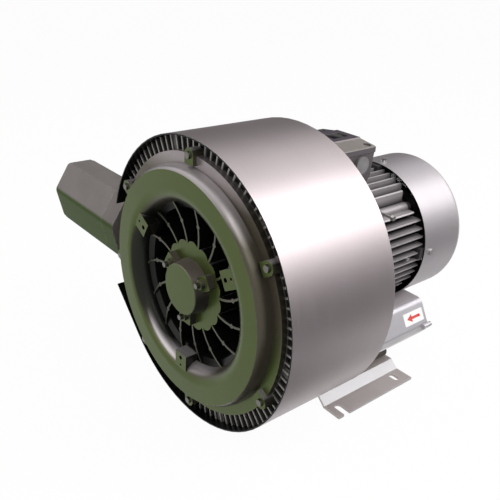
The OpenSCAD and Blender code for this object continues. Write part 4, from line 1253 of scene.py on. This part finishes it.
@dataclass
class FrontCover:
    """The cast cover with its torus, ribs, hub and bearing cap, and the screws that hold them."""

    dresser: Dresser
    rounding: float = 0.0008
    cover_screw: Screw = Screw(0.0048, 0.006, 0.0029, 0.026, 0.0050, hollow_radius=0.0029)
    cap_screw: Screw = Screw(0.0040, 0.005, 0.0024, 0.028, 0.0040, hollow_radius=0.0024)

    def build(self) -> None:
        """Rounds the castings and fits the screws."""
        self.dresser.soften("front_cover", self.rounding)
        self.dresser.soften("bearing_cap", self.rounding, CAP_PAINT)
        self.dresser.fasteners("cover_screws", pointing(Axis.FRONT), self.cover_screw, STEEL)
        self.dresser.fasteners("cap_screws", pointing(Axis.FRONT), self.cap_screw, STEEL)


@dataclass
class Drum:
    """The housings of the two stages and the rolled shroud round them."""

    dresser: Dresser
    fin_rounding: float = 0.0004
    cast_rounding: float = 0.0010
    sheet_rounding: float = 0.0004
    housing_screw: Screw = Screw(0.0048, 0.006, 0.0029, 0.026, 0.0050, hollow_radius=0.0029)

    def build(self) -> None:
        """Rounds the castings and the sheet, and fits the rear screws."""
        self.dresser.soften("middle_housing", self.fin_rounding)
        self.dresser.soften("rear_housing", self.cast_rounding)
        self.dresser.soften("shroud", self.sheet_rounding)
        self.dresser.fasteners("housing_screws", pointing(Axis.REAR), self.housing_screw, STEEL)


@dataclass
class Motor:
    """The finned motor frame, its end shield, the fan cowl, their bolts and a black gauze in the grille that
    stands in for the shade inside the cowl.
    """

    dresser: Dresser
    fin_rounding: float = 0.0005
    shield_rounding: float = 0.0006
    sheet_rounding: float = 0.0004
    through_bolt: Screw = Screw(0.0056, 0.005, 0.00295, 0.171, 0.0054, head_sides=HEXAGON)
    cowl_screw: Screw = Screw(0.005, 0.003, 0.0024, 0.014, 0.005, hollow_radius=0.0021)
    clamp_head: Point = (0.1095, -0.0500, 0.2870)
    clamp_screw: Screw = Screw(0.0042, 0.0045, 0.0022, 0.062, 0.0042, head_sides=HEXAGON)
    drain_head: Point = (0.1075, 0.0025, 0.2090)
    drain_screw: Screw = Screw(0.0034, 0.0026, 0.0020, 0.022, 0.0034, hollow_radius=0.0016)
    gauze_radius: float = 0.096
    gauze_pitch: float = 0.002
    gauze_wire: float = 0.00068
    gauze_station: float = 0.1271

    def build(self) -> None:
        """Rounds the castings and the sheet, and fits the bolts, two side screws and the black gauze that
        stands in for shade inside the cowl.
        """
        self.dresser.soften("motor_frame", self.fin_rounding)
        self.dresser.soften("end_shield", self.shield_rounding, SHIELD_PAINT)
        self.dresser.soften("fan_cowl", self.sheet_rounding)
        self.dresser.fasteners("through_bolts", pointing(Axis.REAR), self.through_bolt, STEEL)
        self.dresser.fasteners("cowl_screws", self.outward, self.cowl_screw, ZINC_STEEL)
        right = Vector(Axis.RIGHT.value)
        for name, head, screw in (("clamp_screw", self.clamp_head, self.clamp_screw),
                                  ("drain_screw", self.drain_head, self.drain_screw)):
            side_screw = self.dresser.screws_at(name, [Vector(head)], [right], screw, ZINC_STEEL)
            self.dresser.add(side_screw, "motor_frame", "zinc_steel")
        # A black gauze inside the cowl's grille, which stands in for the shade in the cowl's mouth.
        gauze = new_piece("cowl_shade_gauze", bpy.data.meshes.new("cowl_shade_gauze"))
        gauze_recipe().run(gauze, BLACK_WIRE, Gauze_radius=self.gauze_radius, Pitch=self.gauze_pitch,
                           Wire_radius=self.gauze_wire, Station=self.gauze_station)
        self.dresser.add(gauze, "fan_cowl", "steel")

    def outward(self, middle: Vector) -> Vector:
        """Points a head away from the shaft."""
        return Vector((middle.x, 0.0, middle.z - SHAFT_HEIGHT)).normalized()


@dataclass
class TerminalBox:
    """The terminal box on the motor, with its lid and blanking plugs.

    The corners of the lid's recess are given as x and y.
    """

    dresser: Dresser
    rounding: float = 0.0012
    plug_rounding: float = 0.0006
    recess_low: Pair = (-0.0095, -0.0825)
    recess_high: Pair = (0.0105, -0.0525)
    recess_corner: float = 0.0015
    recess_floor: float = 0.3761
    blank: float = 0.0038
    lid_screw: Screw = Screw(0.0045, 0.003, 0.00195, 0.017, 0.0045, hollow_radius=0.0020)

    def build(self) -> None:
        """Lays a black blank in the lid's recess, rounds the box and the lid, and fits the lid's screws."""
        across, along = Vector(Axis.RIGHT.value), Vector(Axis.REAR.value)
        outline = rounded_outline(self.recess_low, self.recess_high, self.recess_corner)
        floor = Vector((0.0, 0.0, self.recess_floor))
        blank = plate("lid_blank", outline, floor, across, along, self.blank, BLANK_BLACK)
        self.dresser.add(blank, "terminal_lid", "black_plastic")
        self.dresser.soften("terminal_box", self.rounding, BOX_PAINT)
        self.dresser.soften("terminal_lid", self.rounding, BOX_PAINT)
        self.dresser.soften("entry_plugs", self.plug_rounding, PLUG_GREY)
        self.dresser.fasteners("lid_screws", pointing(Axis.UP), self.lid_screw, ZINC_STEEL)


@dataclass
class Silencers:
    """The outlet silencer at the left and the inlet silencer at the right, with its flow label."""

    dresser: Dresser
    rounding: float = 0.0016
    adapter_rounding: float = 0.0010
    screw: Screw = Screw(0.0042, 0.0042, 0.0019, 0.014, 0.0042, hollow_radius=0.0022)
    outlet_limit: float = -0.15
    label_top: Pair = (0.0890, 0.1095)
    label_foot: Pair = (0.1095, 0.0725)
    label_start: Pair = (0.0300, 0.0140)
    label_end: Pair = (0.0770, 0.0345)
    label_corner: float = 0.0015
    film: float = 0.0003
    arrow_tip: float = 0.007
    arrow_barb: float = 0.019
    arrow_tail: float = 0.008
    arrow_half: float = 0.0022

    def build(self) -> None:
        """Rounds the castings, fits the screws and sticks on the flow label."""
        self.dresser.soften("outlet_adapter", self.adapter_rounding, ADAPTER_PAINT)
        self.dresser.soften("outlet_silencer", self.rounding)
        self.dresser.soften("outlet_cap", self.rounding)
        self.dresser.soften("inlet_adapter", self.adapter_rounding, INLET_PAINT)
        self.dresser.soften("inlet_silencer", self.rounding, INLET_PAINT)
        self.dresser.soften("inlet_cap", self.rounding, INLET_PAINT)
        self.dresser.fasteners("silencer_screws", self.head_way, self.screw, ZINC_STEEL)
        self.label()

    def head_way(self, middle: Vector) -> Vector:
        """Points the outlet's heads to the left and the inlet's to the rear."""
        return Vector((Axis.LEFT if middle.x < self.outlet_limit else Axis.REAR).value)

    def label(self) -> None:
        """Sticks a white label with a plain red flow arrow on the inlet silencer's sloping face.

        The face falls from label_top to label_foot, given as x and z. The label's start and end are given
        as a station along the shaft and a distance down the face.
        """
        top = Vector((self.label_top[0], 0.0, self.label_top[1]))
        foot = Vector((self.label_foot[0], 0.0, self.label_foot[1]))
        up, along = (top - foot).normalized(), Vector(Axis.REAR.value)
        (front, upper), (rear, lower) = self.label_start, self.label_end
        outline = rounded_outline((front, -lower), (rear, -upper), self.label_corner)
        paper = plate("flow_label", outline, top, along, up, self.film, LABEL_WHITE)
        self.dresser.add(paper, "inlet_silencer", "silencer_paint")
        middle, half = -(upper + lower) / 2, self.arrow_half
        tip, barb, tail = front + self.arrow_tip, front + self.arrow_barb, rear - self.arrow_tail
        outline = [(tip, middle), (barb, middle - 3 * half), (barb, middle - half), (tail, middle - half),
                   (tail, middle + half), (barb, middle + half), (barb, middle + 3 * half)]
        face = top + along.cross(up).normalized() * self.film
        arrow = plate("flow_arrow", outline, face, along, up, self.film / 3, LABEL_RED)
        self.dresser.add(arrow, "inlet_silencer", "silencer_paint")


@dataclass
class Base:
    """The foot plate, the saddle under the motor and the bolts between them."""

    dresser: Dresser
    plate_rounding: float = 0.0008
    saddle_rounding: float = 0.0012
    foot_bolt: Screw = Screw(0.0075, 0.005, 0.0039, 0.015, 0.0060, head_sides=HEXAGON)

    def build(self) -> None:
        """Rounds the plate and the saddle, and fits the bolts."""
        self.dresser.soften("foot_plate", self.plate_rounding)
        self.dresser.soften("saddle", self.saddle_rounding)
        self.dresser.fasteners("foot_bolts", pointing(Axis.DOWN), self.foot_bolt, ZINC_STEEL)


# Studio


@dataclass(frozen=True)
class Card:
    """A soft dark card beside the camera's view, which curved metal reflects as a dark band."""

    toward: Point
    start: float
    full: float
    depth: float


@dataclass(frozen=True)
class Lamp:
    """A soft rectangular lamp. Its size is its width, and its length along the shaft's way."""

    name: str
    place: Point
    aim: Point
    size: Pair
    watts: float

    def build(self) -> None:
        """Hangs the lamp."""
        data = bpy.data.lights.new(self.name, "AREA")
        data.shape = "RECTANGLE"
        data.size, data.size_y = self.size
        data.energy = self.watts
        lamp = bpy.data.objects.new(self.name, data)
        back = -Vector(self.aim).normalized()
        along = (Vector(Axis.REAR.value) - back * back.y).normalized()
        turn = Matrix((along.cross(back), along, back)).transposed()
        lamp.matrix_world = Matrix.Translation(Vector(self.place)) @ turn.to_4x4()
        bpy.context.scene.collection.objects.link(lamp)


@dataclass(frozen=True)
class Studio:
    """The floor, the white surroundings with dark cards, the lamps and the camera.

    Angles are in degrees. The lens and the sensor's width are in millimetres.
    """

    camera_place: Point = (0.6210, -0.7467, 0.6218)
    lens: float = 46.81
    sensor: float = 36.0
    view_depth: float = 40.0
    azimuth: float = 49.521
    elevation: float = 25.137
    roll: float = 3.142
    plain_light: float = 0.50
    floor_half: float = 14.0
    floor_grey: float = 0.86
    floor_glow: float = 0.96
    cards: tuple[Card, ...] = (
        Card((-0.76, 0.60, 0.24), 0.80, 0.95, 0.97),
        Card((0.76, 0.61, -0.22), 0.86, 0.97, 0.98),
        Card((0.42, 0.15, -0.895), 0.79, 0.88, 0.95),
    )
    lamps: tuple[Lamp, ...] = (
        Lamp("key", (0.95, 1.05, 1.55), (-0.95, 0.0, -1.35), (1.4, 3.8), 42.0),
        Lamp("front", (-0.7, -2.0, 1.1), (0.35, 1.0, -0.45), (1.5, 1.5), 15.0),
    )

    def camera(self) -> None:
        """Stands the camera where the photograph was taken from."""
        data = bpy.data.cameras.new("camera")
        data.lens = self.lens
        data.sensor_width = self.sensor
        data.clip_end = self.view_depth
        camera = bpy.data.objects.new("camera", data)
        bpy.context.scene.collection.objects.link(camera)
        azimuth, elevation = math.radians(self.azimuth), math.radians(self.elevation)
        forward = Vector((-math.sin(azimuth) * math.cos(elevation), math.cos(azimuth) * math.cos(elevation),
                          -math.sin(elevation)))
        level = forward.cross(Vector(Axis.UP.value)).normalized()
        upright = level.cross(forward)
        roll = math.radians(self.roll)
        right = level * math.cos(roll) + upright * math.sin(roll)
        turn = Matrix((right, right.cross(forward), -forward)).transposed()
        camera.matrix_world = Matrix.Translation(Vector(self.camera_place)) @ turn.to_4x4()
        bpy.context.scene.camera = camera

    def background_rays(self, graph: Graph) -> Socket:
        """Finds the rays that show the background: camera, glossy and transmission rays.

        Args:
            graph: The nodes of the floor or the world.

        Returns:
            A value of 1 for those rays and 0 for the others.
        """
        rays = graph.node("LightPath")
        seen = graph.math("MAXIMUM", rays.outputs["Is Camera Ray"], rays.outputs["Is Transmission Ray"])
        return graph.math("MAXIMUM", seen, rays.outputs["Is Glossy Ray"])

    def floor(self) -> None:
        """Lays a wide white floor that keeps the object's shadow."""
        mesh = bpy.data.meshes.new("floor")
        shape = bmesh.new()
        bmesh.ops.create_grid(shape, x_segments=1, y_segments=1, size=self.floor_half)
        shape.to_mesh(mesh)
        shape.free()
        material = bpy.data.materials.new("floor")
        graph = Graph(material)
        shader = graph.node("BsdfDiffuse", Color=(*(self.floor_grey,) * 3, 1.0))
        glow = graph.node("Emission", Strength=1.0)
        mix = graph.node("MixShader")
        shown = graph.product(self.background_rays(graph), self.floor_glow)
        graph.feed(mix.inputs, (shown, shader.outputs[0], glow.outputs[0]))
        graph.link(mix.outputs[0], graph.node("OutputMaterial").inputs[0])
        mesh.materials.append(material)
        floor = bpy.data.objects.new("floor", mesh)
        floor.visible_glossy = False
        bpy.context.scene.collection.objects.link(floor)

    def world(self) -> None:
        """Makes the surroundings: plain as light, and white with dark cards where metal reflects them."""
        world = bpy.data.worlds.new("studio")
        bpy.context.scene.world = world
        graph = Graph(world)
        place = graph.node("TexCoord").outputs["Generated"]
        open_part: object = 1.0
        for card in self.cards:
            dot = graph.node("VectorMath", operation="DOT_PRODUCT")
            graph.feed(dot.inputs[:2], (place, Vector(card.toward).normalized()))
            dark = graph.product(graph.ramp(dot.outputs["Value"], card.start, card.full), card.depth)
            open_part = graph.product(open_part, graph.math("SUBTRACT", 1.0, dark))
        glossy = graph.node("LightPath").outputs["Is Glossy Ray"]
        carded = graph.product(graph.math("SUBTRACT", 1.0, open_part), glossy)
        white = graph.blend(carded, (1.0, 1.0, 1.0), (0.0, 0.0, 0.0))
        colour = graph.blend(self.background_rays(graph), (self.plain_light,) * 3, white)
        back = graph.node("Background", Strength=1.0)
        graph.link(colour, back.inputs["Color"])
        graph.link(back.outputs[0], graph.node("OutputWorld").inputs[0])

    def build(self) -> None:
        """Sets the whole scene."""
        bpy.context.scene.view_settings.view_transform = "Standard"
        self.camera()
        self.floor()
        self.world()
        for lamp in self.lamps:
            lamp.build()
        LOG.info("studio is set")


def main() -> None:
    """Builds the dressed blower and the studio round it."""
    logging.basicConfig(level=logging.INFO, format="%(name)s: %(message)s")
    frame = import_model()
    dresser = Dresser(frame)
    for node in dresser.nodes:
        dresser.paint(node)
    for assembly in (FrontCover, Drum, Motor, TerminalBox, Silencers, Base):
        assembly(dresser).build()
    Studio().build()


if __name__ == "__main__":
    main()
